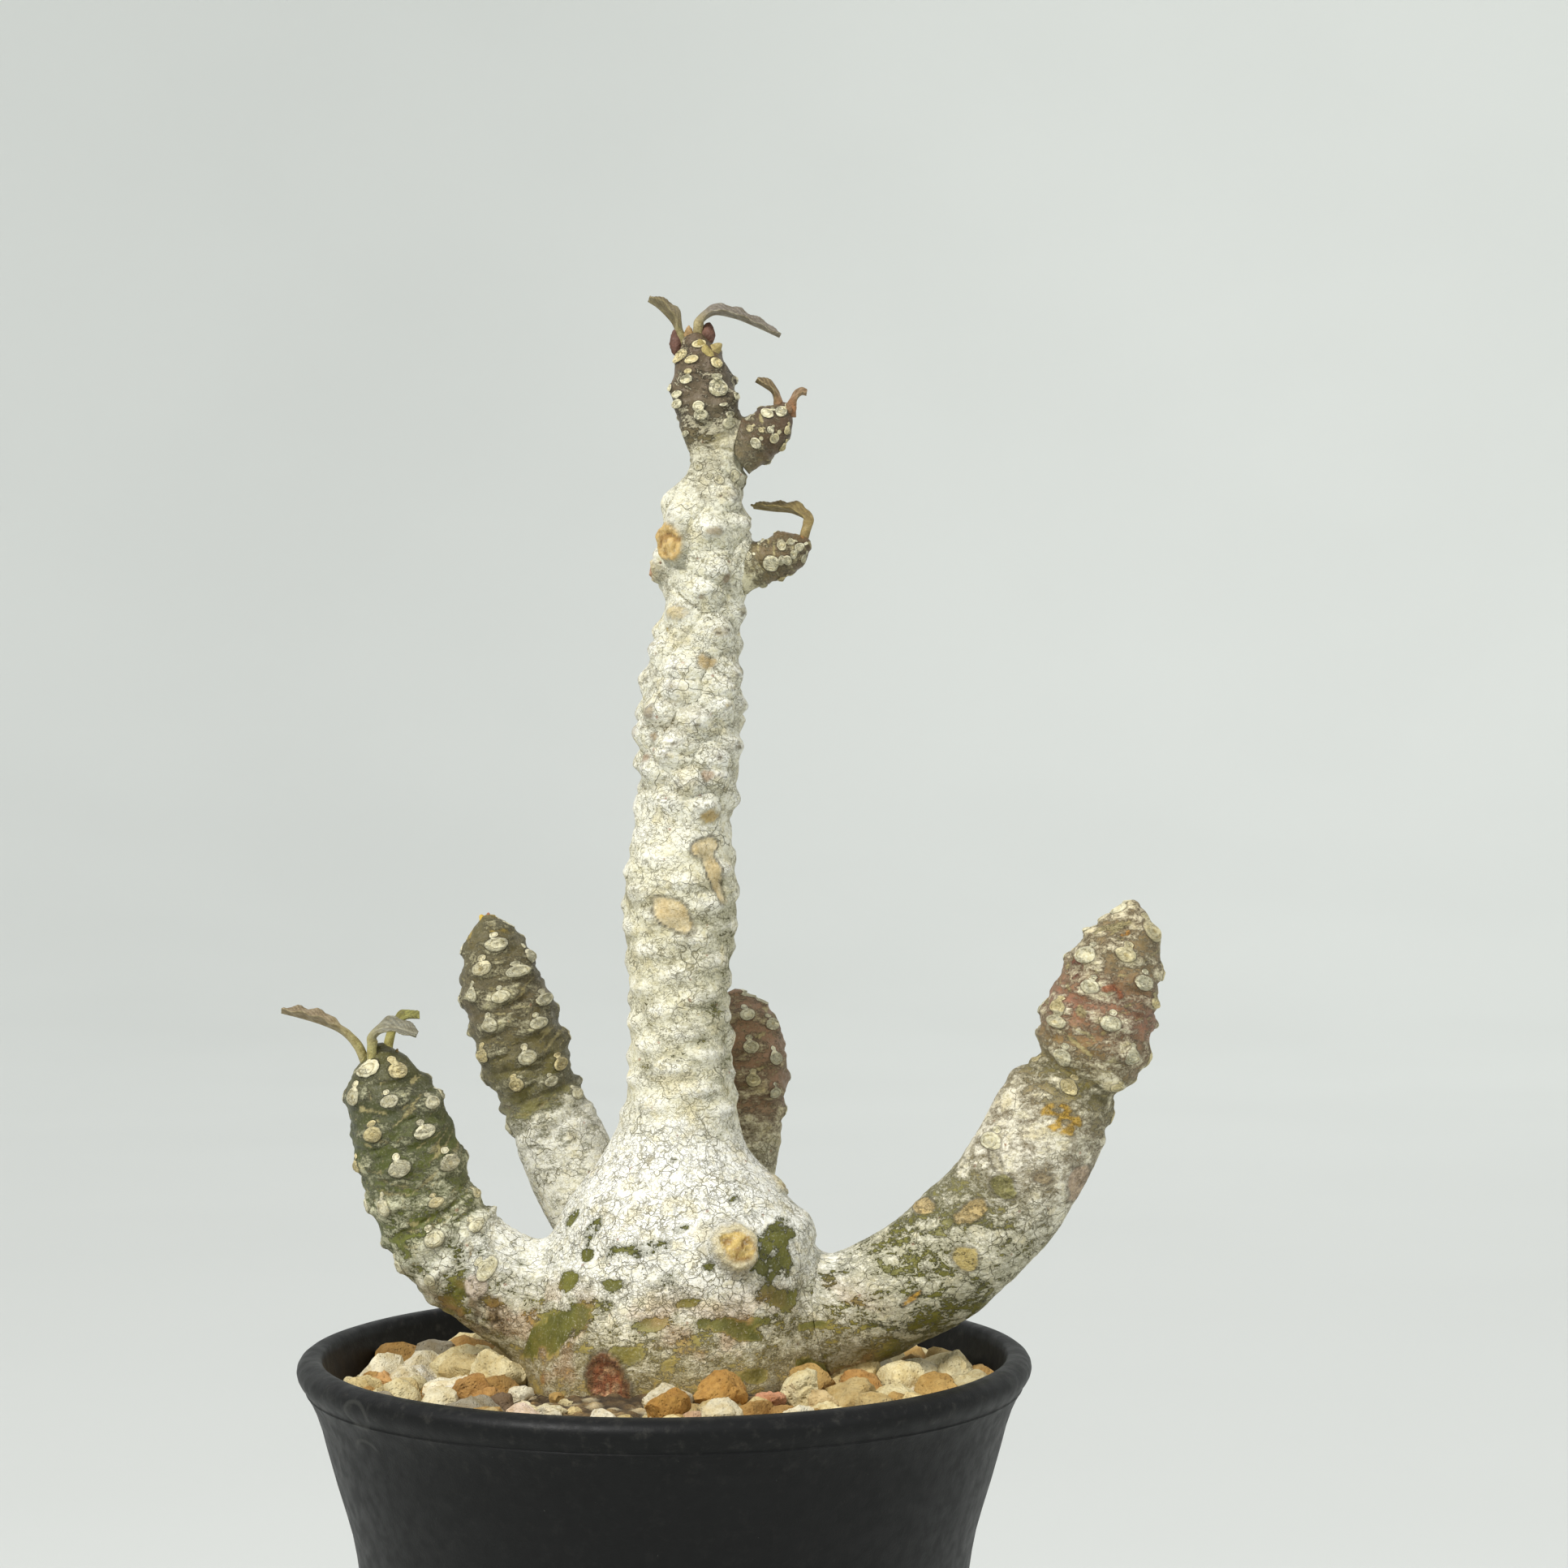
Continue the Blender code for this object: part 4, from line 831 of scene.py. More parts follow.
def arm_skin(name, look, material):
    stem = STEMS[name]
    young = name.startswith("shoot")
    back = name.startswith("arm_back")
    sides = look["sides"]
    end = stem.length + stem.cap
    arcs, angle, faces, rings = grid(runs((0.0, 0.15 if young else 0.28), (end, 0.0)), sides)
    s = Surface(stem, arcs, angle)
    p = s.base
    for key, layer in (("film", s.film), ("skin", s.skin)):
        layer[:, :3] = ramp(arcs, tuple((a, linear(*c)) for a, c in look[key]))
    s.film[:, 3] = ramp(arcs, look["cover"])[:, 0] + 0.2 * layered(p, 5.0, 61, 3)
    s.place = joined(s.base, stem, STEMS["trunk"], JOINS[name])
    if not young:
        caudex_layers(s, (1.0 - step(arcs, *look["foot"])) * (0.0 if back else 1.0))
    s.lift += (0.08 if young else 0.3) * layered(p, 8.0, 62, 3)

    # Cushions, wide and low, so that their rows make ridges round the stem.
    scars = seen_marks(name, SCARS_SEEN[name])
    wide, high = look["size"]
    room = 2.0 if young else 4.4
    rest = spiral_spots(stem, look["low"], look["last"], look["pitch"], scars, room)
    rest = [(a, t, wide, high) for a, t in rest]
    cushions = scars + rest
    scale = 0.5 if young else 1.0
    near, second = nearest(s, cushions, 0.5, 1.3)
    rise = step(arcs, look["scars"] - (2.0 if young else 8.0), look["scars"] + 2.0 * scale)
    ridge = np.exp(-((near / (1.8 * scale)) ** 2))
    s.lift += rise * (0.45 if young else 0.9) * (ridge - 0.45) * np.clip(s.shown / 4.0, 0.3, 1.0)
    slant = arcs - 0.34 * s.angle * s.shown * np.sign(math.pi - s.angle)
    band = np.column_stack((np.sin(s.angle) * s.shown / 3.0, np.cos(s.angle) * s.shown / 3.0, arcs / (0.62 * scale)))
    wrinkle = noise(band, 1.0, 66) + 0.5 * noise(band * 2.0, 1.0, 67)
    s.lift += (0.05 if young else 0.15) * wrinkle * (0.4 + 0.6 * rise)
    # Painted shade and light: the film is fuller on the ridges and raised wrinkles and thinner between them.
    s.film[:, 3] += rise * (0.3 * (ridge - 0.5) + 0.14 * wrinkle)
    # Painted shade: dark lines in the furrows between the rows of cushions.
    furrow_shade = step(-wrinkle, 0.4, 1.1) * step(0.5 - ridge, 0.0, 0.35)
    s.line(rise * 0.6 * furrow_shade)

    for arc, turn, half_width, half_height in scars + [r for r in rest if r[0] > look["scars"]]:
        pick = scatter(np.array([int(arc * 10)]), np.array([int(turn * 50) + 999]), np.array([5]), 9)[0]
        s.scar(arc, turn, half_width, half_height, pick, 0.12 if young else 0.15)
        s.scar(arc + 1.5 * half_height, turn, (0.36 + 0.2 * pick) * half_width, 0.38 * half_height, pick, 0.08)

    # Short pale dashes between the rows, which rise to the right.
    dash = noise(np.column_stack((s.angle * s.shown / 2.6, slant / 0.42, np.zeros(len(arcs)))), 1.0, 64)
    dash = step(dash, 0.5, 0.66) * step(0.75 - ridge, 0.0, 0.3)
    s.paint(linear(206, 192, 134), 0.75 * dash * rise)
    ARM_EXTRAS.get(name, lambda surface: None)(s)
    s.fine = (0.03 if young else 0.05) * layered(p, 0.8, 65, 3)
    return finish(s, name, material, rings, sides, faces)


def right_arm_extras(s):
    """Tan ovals, a peeled flake, a bright yellow crust and streaks on the right arm."""
    p, stem = s.base, s.stem
    for column, row, width, height, tilt, tone, seed in (
        (1329, 1456, 30, 44, -20.0, (196, 172, 146), 1), (1284, 1451, 24, 14, 20.0, (190, 170, 132), 2),
        (1229, 1430, 30, 12, -30.0, (222, 214, 186), 3), (1194, 1494, 20, 48, -12.0, (204, 178, 120), 4),
        (1138, 1487, 28, 24, 20.0, (222, 196, 138), 5), (1188, 1549, 34, 32, 0.0, (206, 184, 112), 6),
        (1310, 1378, 52, 32, 10.0, (206, 164, 52), 7), (1123, 1601, 8, 28, 10.0, (206, 160, 58), 8),
        (1235, 1460, 32, 30, 0.0, (146, 140, 78), 9), (1383, 1147, 22, 14, 0.0, (218, 158, 66), 10),
        (1372, 1222, 30, 18, 0.0, (170, 98, 58), 11), (1325, 1190, 16, 34, 10.0, (158, 92, 66), 12),
    ):
        arc, turn = seen(stem, column, row)
        half = 0.5 * 433.0 / PIXELS_MM
        wide, high = half * width / max(0.6, math.cos(turn)), half * height
        spot = s.patch(arc, turn, wide, high, 200 + seed, 0.12, tilt, 0.6)
        rim = s.patch(arc, turn, wide + 0.3, high + 0.3, 200 + seed, 0.12, tilt, 0.6)
        crusty = seed in (7, 10, 11, 12)
        if crusty:
            spot = spot * step(noise(p, 1.2, 77) + 0.4 * noise(p, 0.5, 78), -0.25, 0.15)
            rim = spot
            s.lift += 0.22 * spot * (0.4 + noise(p, 0.7, 79))
        s.paint(linear(*tone), 0.92 * spot)
        s.line(0.7 * np.clip(rim - spot, 0.0, 1.0))
        s.lift += 0.1 * np.clip(rim - spot, 0.0, 1.0)
    place = s.arcs - seen(stem, 1340, 1345)[0] + 0.5 * noise(p, 4.0, 80)
    s.line(0.6 * np.exp(-((place / 0.4) ** 2)) * step(noise(p, 1.6, 80), -0.3, 0.3))
    s.lift += 0.7 * np.exp(-(((place + 5.0) / 3.0) ** 2)) - 0.9 * np.exp(-(((place - 0.8) / 1.7) ** 2))
    s.lift += 0.55 * layered(p, 7.0, 75, 2) * (1.0 - step(place, -3.0, 0.0)) * step(s.arcs, 14.0, 22.0)


def back_left_extras(s):
    """A collar between the white foot and the dark upper part, and yellow buds at the tip."""
    start = seen(s.stem, 655, 1352)[0]
    wave = s.arcs - start + 0.5 * noise(s.base, 3.0, 81)
    s.line(0.6 * np.exp(-((wave / 0.35) ** 2)))
    s.lift -= 0.35 * step(wave, -0.3, 0.5) * (1.0 - step(wave, 3.0, 7.0))
    tip = step(s.arcs, s.stem.length - 4.0, s.stem.length - 1.0)
    s.paint(linear(206, 176, 66), 0.85 * tip * step(noise(s.base, 1.1, 82), 0.1, 0.35))


def left_arm_extras(s):
    """A pinkish white knot and rough brown bark on the left arm's lower side."""
    arc, turn = seen(s.stem, 587, 1586)
    knot = s.patch(arc, turn, 1.8, 1.6, 85, 0.2, 0.0, 0.8)
    s.paint(linear(228, 212, 194), 0.9 * knot)
    s.lift += 0.3 * knot
    arc, turn = seen(s.stem, 598, 1622)
    rough = s.patch(arc, turn, 4.0, 2.6, 86, 0.25, 20.0, 0.9)
    s.paint(linear(150, 122, 70), 0.8 * rough * step(noise(s.base, 1.0, 87), -0.2, 0.3))
    s.line(0.7 * rough * step(noise(s.base, 0.7, 88), 0.2, 0.45))


ARM_EXTRAS = {
    "arm_left": left_arm_extras,
    "arm_right": right_arm_extras,
    "arm_back_left": back_left_extras,
}


def finish(surface, name, material, rings, sides, faces):
    """Joins a stem to the trunk, closes it at both ends and makes the piece."""
    s = surface
    points = s.base + s.lift[:, None] * s.out
    points = joined(points, s.stem, STEMS["trunk"], JOINS[name])
    points = points + s.fine[:, None] * grid_normals(points, rings, sides)
    foot = len(points)
    points = np.vstack((points, points[:sides].mean(axis=0), points[-sides:].mean(axis=0)))
    polygons = faces.tolist()
    top = foot - sides
    for k in range(sides):
        n = (k + 1) % sides
        polygons.append([foot, n, k])
        polygons.append([foot + 1, top + k, top + n])
    colours = {}
    for key, values in (("skin", s.skin), ("film", s.film), ("mark", s.mark), ("disc", s.disc)):
        colours[key] = np.vstack((values, values[:1], values[-1:]))
    return piece(name + "_skin", points, polygons, colours, material, name)


# Materials.


class Shader:
    """A material and short ways to add nodes to it."""

    def __init__(self, name):
        self.material = bpy.data.materials.new(name)
        self.material.use_nodes = True
        self.tree = self.material.node_tree
        self.main = self.tree.nodes["Principled BSDF"]
        self.main.inputs["Metallic"].default_value = 0.0
        where = self.tree.nodes.new("ShaderNodeTexCoord")
        self.mm = self.vector("SCALE", where.outputs["Object"], scale=1000.0)

    def put(self, node, socket, value):
        target = node.inputs[socket]
        if isinstance(value, bpy.types.NodeSocket):
            self.tree.links.new(value, target)
        elif hasattr(target.default_value, "__len__"):
            target.default_value = (*value, 1.0)[: len(target.default_value)]
        else:
            target.default_value = float(value)

    def math(self, operation, a, b=0.0, c=0.0):
        node = self.tree.nodes.new("ShaderNodeMath")
        node.operation = operation
        for k, value in enumerate((a, b, c)):
            self.put(node, k, value)
        return node.outputs[0]

    def add(self, *values):
        total = values[0]
        for value in values[1:]:
            total = self.math("ADD", total, value)
        return total

    def times(self, *values):
        total = values[0]
        for value in values[1:]:
            total = self.math("MULTIPLY", total, value)
        return total

    def most(self, *values):
        total = values[0]
        for value in values[1:]:
            total = self.math("MAXIMUM", total, value)
        return total

    def vector(self, operation, a, b=(0.0, 0.0, 0.0), scale=1.0):
        node = self.tree.nodes.new("ShaderNodeVectorMath")
        node.operation = operation
        self.put(node, 0, a)
        self.put(node, 1, b)
        self.put(node, 3, scale)
        return node.outputs[0]

    def attribute(self, name):
        node = self.tree.nodes.new("ShaderNodeAttribute")
        node.attribute_name = name
        return node.outputs["Color"], node.outputs["Alpha"]

    def noise(self, size, detail=3.0, rough=0.55, place=None):
        """Noise with features of about the size in millimetres."""
        node = self.tree.nodes.new("ShaderNodeTexNoise")
        self.put(node, "Vector", place or self.mm)
        self.put(node, "Scale", 1.0 / size)
        self.put(node, "Detail", detail)
        self.put(node, "Roughness", rough)
        return node.outputs["Fac"]

    def shifted(self, size, reach, stretch=(1.0, 1.0, 1.0)):
        """Places in millimetres, stretched and pushed about by noise of the size."""
        node = self.tree.nodes.new("ShaderNodeTexNoise")
        self.put(node, "Vector", self.mm)
        self.put(node, "Scale", 1.0 / size)
        self.put(node, "Detail", 2.0)
        push = self.vector("SUBTRACT", node.outputs["Color"], (0.5, 0.5, 0.5))
        moved = self.vector("ADD", self.mm, self.vector("SCALE", push, scale=reach))
        return self.vector("MULTIPLY", moved, stretch)

    def cells(self, size, feature="F1", place=None):
        node = self.tree.nodes.new("ShaderNodeTexVoronoi")
        node.feature = feature
        self.put(node, "Vector", place or self.mm)
        self.put(node, "Scale", 1.0 / size)
        return node.outputs["Distance"]

    def span(self, value, low, high, to_low=0.0, to_high=1.0):
        node = self.tree.nodes.new("ShaderNodeMapRange")
        node.interpolation_type = "SMOOTHSTEP"
        for k, given in enumerate((value, low, high, to_low, to_high)):
            self.put(node, k, given)
        return node.outputs[0]

    def mix(self, share, a, b, blend="MIX"):
        node = self.tree.nodes.new("ShaderNodeMix")
        node.data_type = "RGBA"
        node.blend_type = blend
        self.put(node, 0, share)
        self.put(node, 6, a)
        self.put(node, 7, b)
        return node.outputs[2]

    def shade(self, colour, factors):
        """The colour multiplied by one factor for each channel."""
        return self.mix(1.0, colour, factors, "MULTIPLY")

    def bump(self, height, distance, normal=None):
        """Bump whose height, 0 to 1, stands for the distance in millimetres."""
        node = self.tree.nodes.new("ShaderNodeBump")
        self.put(node, "Strength", 1.0)
        self.put(node, "Distance", distance * MM)
        self.put(node, "Height", height)
        if normal:
            self.put(node, "Normal", normal)
        return node.outputs["Normal"]

    def done(self, colour, roughness, normal):
        self.put(self.main, "Base Color", colour)
        self.put(self.main, "Roughness", roughness)
        self.put(self.main, "Normal", normal)
        return self.material


SCAR_RIM = linear(228, 222, 190)
SCAR_CREAM = linear(222, 207, 156)
SCAR_HEART = linear(196, 176, 118)
OLD_DOT = linear(150, 92, 58)


def bark_material(name, flake, wax, lines, haze):
    """Waxy skin under a chalky film: bare in places, thin and translucent in others, thick and crazed elsewhere."""
    s = Shader(name)
    skin, crack_and_shade = s.attribute("skin")
    film, cover = s.attribute("film")
    mark, marked = s.attribute("mark")
    parts = s.tree.nodes.new("ShaderNodeSeparateColor")
    s.put(parts, 0, s.attribute("disc")[0])
    where = s.tree.nodes.new("ShaderNodeSeparateXYZ")
    s.put(where, 0, s.mm)
    crazed = s.times(s.span(where.outputs[2], 98.0, 107.0, 0.3, 1.0), s.span(where.outputs[2], 124.0, 136.0, 1.0, 0.1))
    lying = s.shifted(2.4, 1.6, (1.0, 1.0, 1.7))
    ragged = s.noise(flake * 3.2, 7.0, 0.66, lying)
    grain = s.noise(0.34, 4.0, 0.7)
    streak = s.noise(0.8, 4.0, 0.65, s.shifted(1.6, 0.9, (0.6, 0.6, 2.4)))
    edge = s.add(cover, s.times(s.add(ragged, -0.5), 1.5), s.times(s.add(grain, -0.5), 0.55))
    edge = s.add(edge, s.times(s.add(streak, -0.5), 0.6), -0.5)
    soft = s.most(s.span(where.outputs[2], 99.0, 107.0, 0.2, 0.0), s.span(where.outputs[2], 114.0, 124.0, 0.0, haze))
    coat = s.span(s.add(edge, s.times(s.add(grain, -0.5), soft, 1.6)), s.add(-0.02, s.times(soft, -1.0)), s.add(0.04, soft))
    thick = s.span(edge, 0.02, 0.34)
    skin_tone = s.mix(s.span(s.noise(2.2, 5.0, 0.62), 0.38, 0.64), skin, s.shade(skin, (0.66, 0.68, 0.58)))
    skin_tone = s.mix(s.span(grain, 0.56, 0.72, 0.0, 0.45), skin_tone, film)
    thin = s.mix(0.5, skin, film)
    stain = s.span(s.noise(1.3, 6.0, 0.7, lying), 0.48, 0.62)
    white = s.mix(s.times(stain, 0.62), film, s.shade(film, (0.82, 0.785, 0.62)))
    blush = s.times(s.span(s.noise(3.0, 4.0, 0.6), 0.52, 0.66), 0.5)
    white = s.mix(blush, white, s.shade(film, (0.86, 0.77, 0.52)))
    pepper = s.span(s.noise(0.3, 2.0, 0.6), 0.36, 0.44, 1.0, 0.0)
    white = s.mix(s.times(pepper, 0.6), white, s.shade(film, (0.56, 0.52, 0.36)))
    colour = s.mix(coat, skin_tone, s.mix(thick, thin, white))
    dots = s.times(s.span(s.cells(2.9, "F1", s.shifted(1.0, 0.6)), 0.05, 0.11, 1.0, 0.0), coat, 0.6)
    colour = s.mix(dots, colour, OLD_DOT)

    wide = s.span(s.cells(1.9, "DISTANCE_TO_EDGE", s.shifted(1.1, 1.3)), 0.006, 0.036, 1.0, 0.0)
    wide = s.times(wide, s.span(s.noise(3.6, 2.0), 0.42, 0.54), 0.85)
    close = s.span(s.cells(0.75, "DISTANCE_TO_EDGE", s.shifted(0.7, 0.6, (0.8, 0.8, 1.5))), 0.01, 0.06, 1.0, 0.0)
    close = s.times(close, s.span(s.noise(2.6, 2.0), 0.5, 0.62), 0.4)
    net = s.times(s.most(wide, close), coat, crazed)
    hairs = []
    for size, width, share in ((1.5, 0.02, 0.75), (0.8, 0.026, 0.5)):
        level = s.math("ABSOLUTE", s.add(s.noise(size, 2.0, 0.5, s.shifted(size, 0.8, (1.0, 1.0, 1.25))), -0.5))
        line = s.span(level, 0.35 * width, width, 1.0, 0.0)
        hairs.append(s.times(line, s.span(s.noise(3.1 * size, 2.0), 0.4, 0.55), share))
    net = s.most(net, s.times(s.most(*hairs), coat, lines))
    rivers = s.span(s.cells(6.4, "DISTANCE_TO_EDGE", s.shifted(3.2, 4.6, (1.0, 1.0, 1.2))), 0.002, 0.013, 1.0, 0.0)
    rivers = s.times(rivers, s.span(s.noise(6.0, 2.0), 0.46, 0.54), coat, 0.8)
    # Painted shade: thin dark lines along the folds between cushions.
    gap = s.add(s.times(parts.outputs[2], 2.0), s.times(s.add(s.noise(0.9, 2.0), -0.5), 0.3))
    folds = s.times(s.span(gap, 0.02, 0.17, 1.0, 0.0), s.span(s.noise(2.1, 2.0), 0.36, 0.5), 0.7)
    lip = s.times(s.span(edge, -0.07, -0.02), s.span(edge, -0.02, 0.03, 1.0, 0.0), 0.4)
    # Crack lines, and painted shade lines in furrows and round stub feet, from the skin's alpha.
    crack_and_shade_lines = s.times(crack_and_shade, s.span(s.noise(0.7, 3.0, 0.6), 0.34, 0.54, 0.45, 1.0))
    mark_tone = s.mix(s.span(s.noise(0.5, 4.0, 0.66), 0.4, 0.66), mark, s.shade(mark, (0.78, 0.74, 0.62)))
    colour = s.mix(s.times(marked, s.span(s.noise(0.45, 3.0, 0.6), 0.3, 0.5, 0.78, 1.0)), colour, mark_tone)
    fine = s.times(s.most(net, folds, rivers), s.add(1.0, s.times(marked, -0.8)))
    colour = s.mix(fine, colour, s.shade(colour, (0.3, 0.28, 0.2)))

    reach = s.add(s.times(parts.outputs[0], 2.0), s.times(s.add(s.noise(0.8, 2.0), -0.5), 0.28))
    inside = s.span(reach, 0.98, 1.05, 1.0, 0.0)
    ring = s.span(s.math("ABSOLUTE", s.add(reach, -0.64)), 0.02, 0.08, 1.0, 0.0)
    ring = s.times(ring, s.span(s.noise(0.9, 2.0), 0.4, 0.56))
    heart = s.span(reach, 0.2, 0.34, 1.0, 0.0)
    outline = s.times(s.span(s.math("ABSOLUTE", s.add(reach, -1.1)), 0.02, 0.1, 1.0, 0.0), 0.5)
    pale = s.mix(s.span(parts.outputs[1], 0.5, 0.9), SCAR_RIM, SCAR_CREAM)
    pale = s.mix(s.span(s.noise(0.5, 4.0, 0.65), 0.42, 0.66, 0.0, 0.7), pale, s.shade(pale, (0.78, 0.73, 0.56)))
    pale = s.mix(s.times(ring, 0.65), pale, s.shade(pale, (0.56, 0.5, 0.34)))
    pale = s.mix(s.times(heart, s.span(parts.outputs[1], 0.3, 0.8, 0.1, 0.75)), pale, SCAR_HEART)
    colour = s.mix(inside, colour, pale)
    dark = s.most(lip, crack_and_shade_lines, outline)
    colour = s.mix(dark, colour, s.shade(colour, (0.15, 0.118, 0.062)))

    height = s.add(s.times(coat, 0.34), s.times(thick, 0.26), s.times(s.noise(0.55, 4.0, 0.62), 0.5))
    height = s.add(height, s.times(s.most(dark, fine), -0.75), s.times(inside, 0.3), s.times(ring, inside, -0.3))
    normal = s.bump(height, 0.3)
    normal = s.bump(grain, 0.07, normal)
    rough = s.add(s.times(coat, 0.88 - wax), s.span(s.noise(1.1, 2.0), 0.3, 0.7, wax - 0.08, wax + 0.08))
    return s.done(colour, rough, normal)


# Leaves.

LEAVES = {
    "leaf_top_left": {
        "spine": ((2.9, 0.4, 236.6, 0.8, 0.0), (2.1, 0.4, 238.4, 0.8, 0.0), (1.3, 0.5, 240.1, 1.6, 0.8),
                  (0.1, 0.6, 241.5, 2.4, 1.0), (-1.2, 0.7, 242.7, 1.9, 1.0), (-2.3, 0.8, 243.4, 0.8, 1.0)),
        "up": (0.75, -0.25, 0.6), "fold": 32.0, "wave": 0.3,
        "tones": ((124, 114, 88), (168, 156, 116), (88, 76, 52)), "petiole": (146, 138, 92), "slot": "leaf_green",
    },
    "leaf_top_right": {
        "spine": ((4.6, 0.0, 236.6, 0.8, 0.0), (4.4, 0.0, 238.6, 0.8, 0.0), (4.7, 0.0, 240.3, 1.2, 0.3),
                  (6.4, 0.0, 241.4, 2.4, 1.0), (9.2, 0.1, 241.1, 2.8, 1.0), (12.4, 0.2, 239.9, 2.2, 1.0),
                  (15.7, 0.3, 238.4, 0.7, 1.0)),
        "up": (0.25, -0.28, 0.93), "fold": 16.0, "wave": 0.35,
        "tones": ((122, 114, 104), (178, 170, 146), (84, 78, 70)), "petiole": (170, 158, 112), "slot": "leaf_grey",
    },
    "leaf_shoot_upper_left": {
        "spine": ((15.2, -0.4, 227.2, 0.8, 0.0), (15.4, -0.4, 229.2, 0.7, 0.0), (14.8, -0.5, 230.6, 1.1, 0.9),
                  (13.6, -0.6, 231.5, 1.5, 1.0), (12.4, -0.7, 232.2, 0.7, 1.0)),
        "up": (0.5, -0.4, 0.8), "fold": 25.0, "wave": 0.2,
        "tones": ((128, 112, 82), (176, 158, 116), (92, 76, 52)), "petiole": (150, 118, 86), "slot": "leaf_green",
    },
    "leaf_shoot_upper_right": {
        "spine": ((17.2, -0.4, 227.2, 0.7, 0.0), (17.3, -0.4, 229.0, 0.7, 0.0), (17.9, -0.4, 230.0, 1.0, 0.9),
                  (18.6, -0.4, 230.5, 1.1, 1.0), (19.3, -0.4, 230.4, 0.6, 1.0)),
        "up": (-0.3, -0.4, 0.8), "fold": 20.0, "wave": 0.15,
        "tones": ((140, 116, 88), (180, 156, 118), (98, 78, 56)), "petiole": (156, 118, 84), "slot": "leaf_green",
    },
    "leaf_shoot_lower": {
        "spine": ((18.4, -0.6, 209.0, 0.8, 0.0), (19.1, -0.5, 211.4, 0.8, 0.0), (19.5, 0.0, 213.2, 1.0, 0.4),
                  (17.6, 1.2, 214.4, 1.9, 1.0), (14.6, 2.8, 214.9, 2.0, 1.0), (12.0, 4.4, 215.4, 0.9, 1.0)),
        "up": (0.1, -0.3, 0.95), "fold": 24.0, "wave": 0.3,
        "tones": ((128, 112, 66), (164, 148, 96), (92, 78, 42)), "petiole": (148, 130, 84), "slot": "leaf_green",
    },
    "leaf_arm_long": {
        "spine": ((-40.6, -1.4, 138.6, 0.9, 0.0), (-41.9, -1.5, 141.6, 0.9, 0.0), (-43.6, -1.5, 143.3, 1.2, 0.4),
                  (-46.6, -1.5, 144.6, 2.2, 1.0), (-49.5, -1.5, 145.5, 2.0, 1.0), (-52.2, -1.5, 146.2, 0.9, 1.0)),
        "up": (0.2, -0.1, 0.95), "fold": 26.0, "wave": 0.4,
        "tones": ((140, 124, 100), (178, 164, 128), (102, 92, 62)), "petiole": (160, 152, 98), "slot": "leaf_green",
    },
    "leaf_arm_grey": {
        "spine": ((-39.7, -2.6, 138.6, 0.8, 0.0), (-39.7, -3.1, 141.4, 0.8, 0.0), (-39.4, -3.3, 143.0, 1.6, 0.5),
                  (-37.6, -3.4, 143.9, 2.9, 1.0), (-35.4, -3.4, 143.6, 2.6, 1.0), (-33.6, -3.4, 143.0, 1.1, 1.0)),
        "up": (0.1, -0.28, 0.95), "fold": 14.0, "wave": 0.4,
        "tones": ((130, 128, 112), (176, 172, 148), (92, 92, 78)), "petiole": (164, 156, 98), "slot": "leaf_grey",
    },
    "leaf_arm_green": {
        "spine": ((-38.0, 0.8, 138.8, 0.7, 0.0), (-38.0, 1.9, 141.8, 0.7, 0.0), (-37.2, 2.4, 143.9, 0.9, 0.5),
                  (-35.8, 2.6, 145.0, 1.5, 1.0), (-33.9, 2.8, 145.1, 0.7, 1.0)),
        "up": (-0.2, -0.45, 0.85), "fold": 22.0, "wave": 0.25,
        "tones": ((122, 120, 58), (160, 156, 88), (84, 84, 36)), "petiole": (158, 150, 84), "slot": "leaf_green",
    },
}


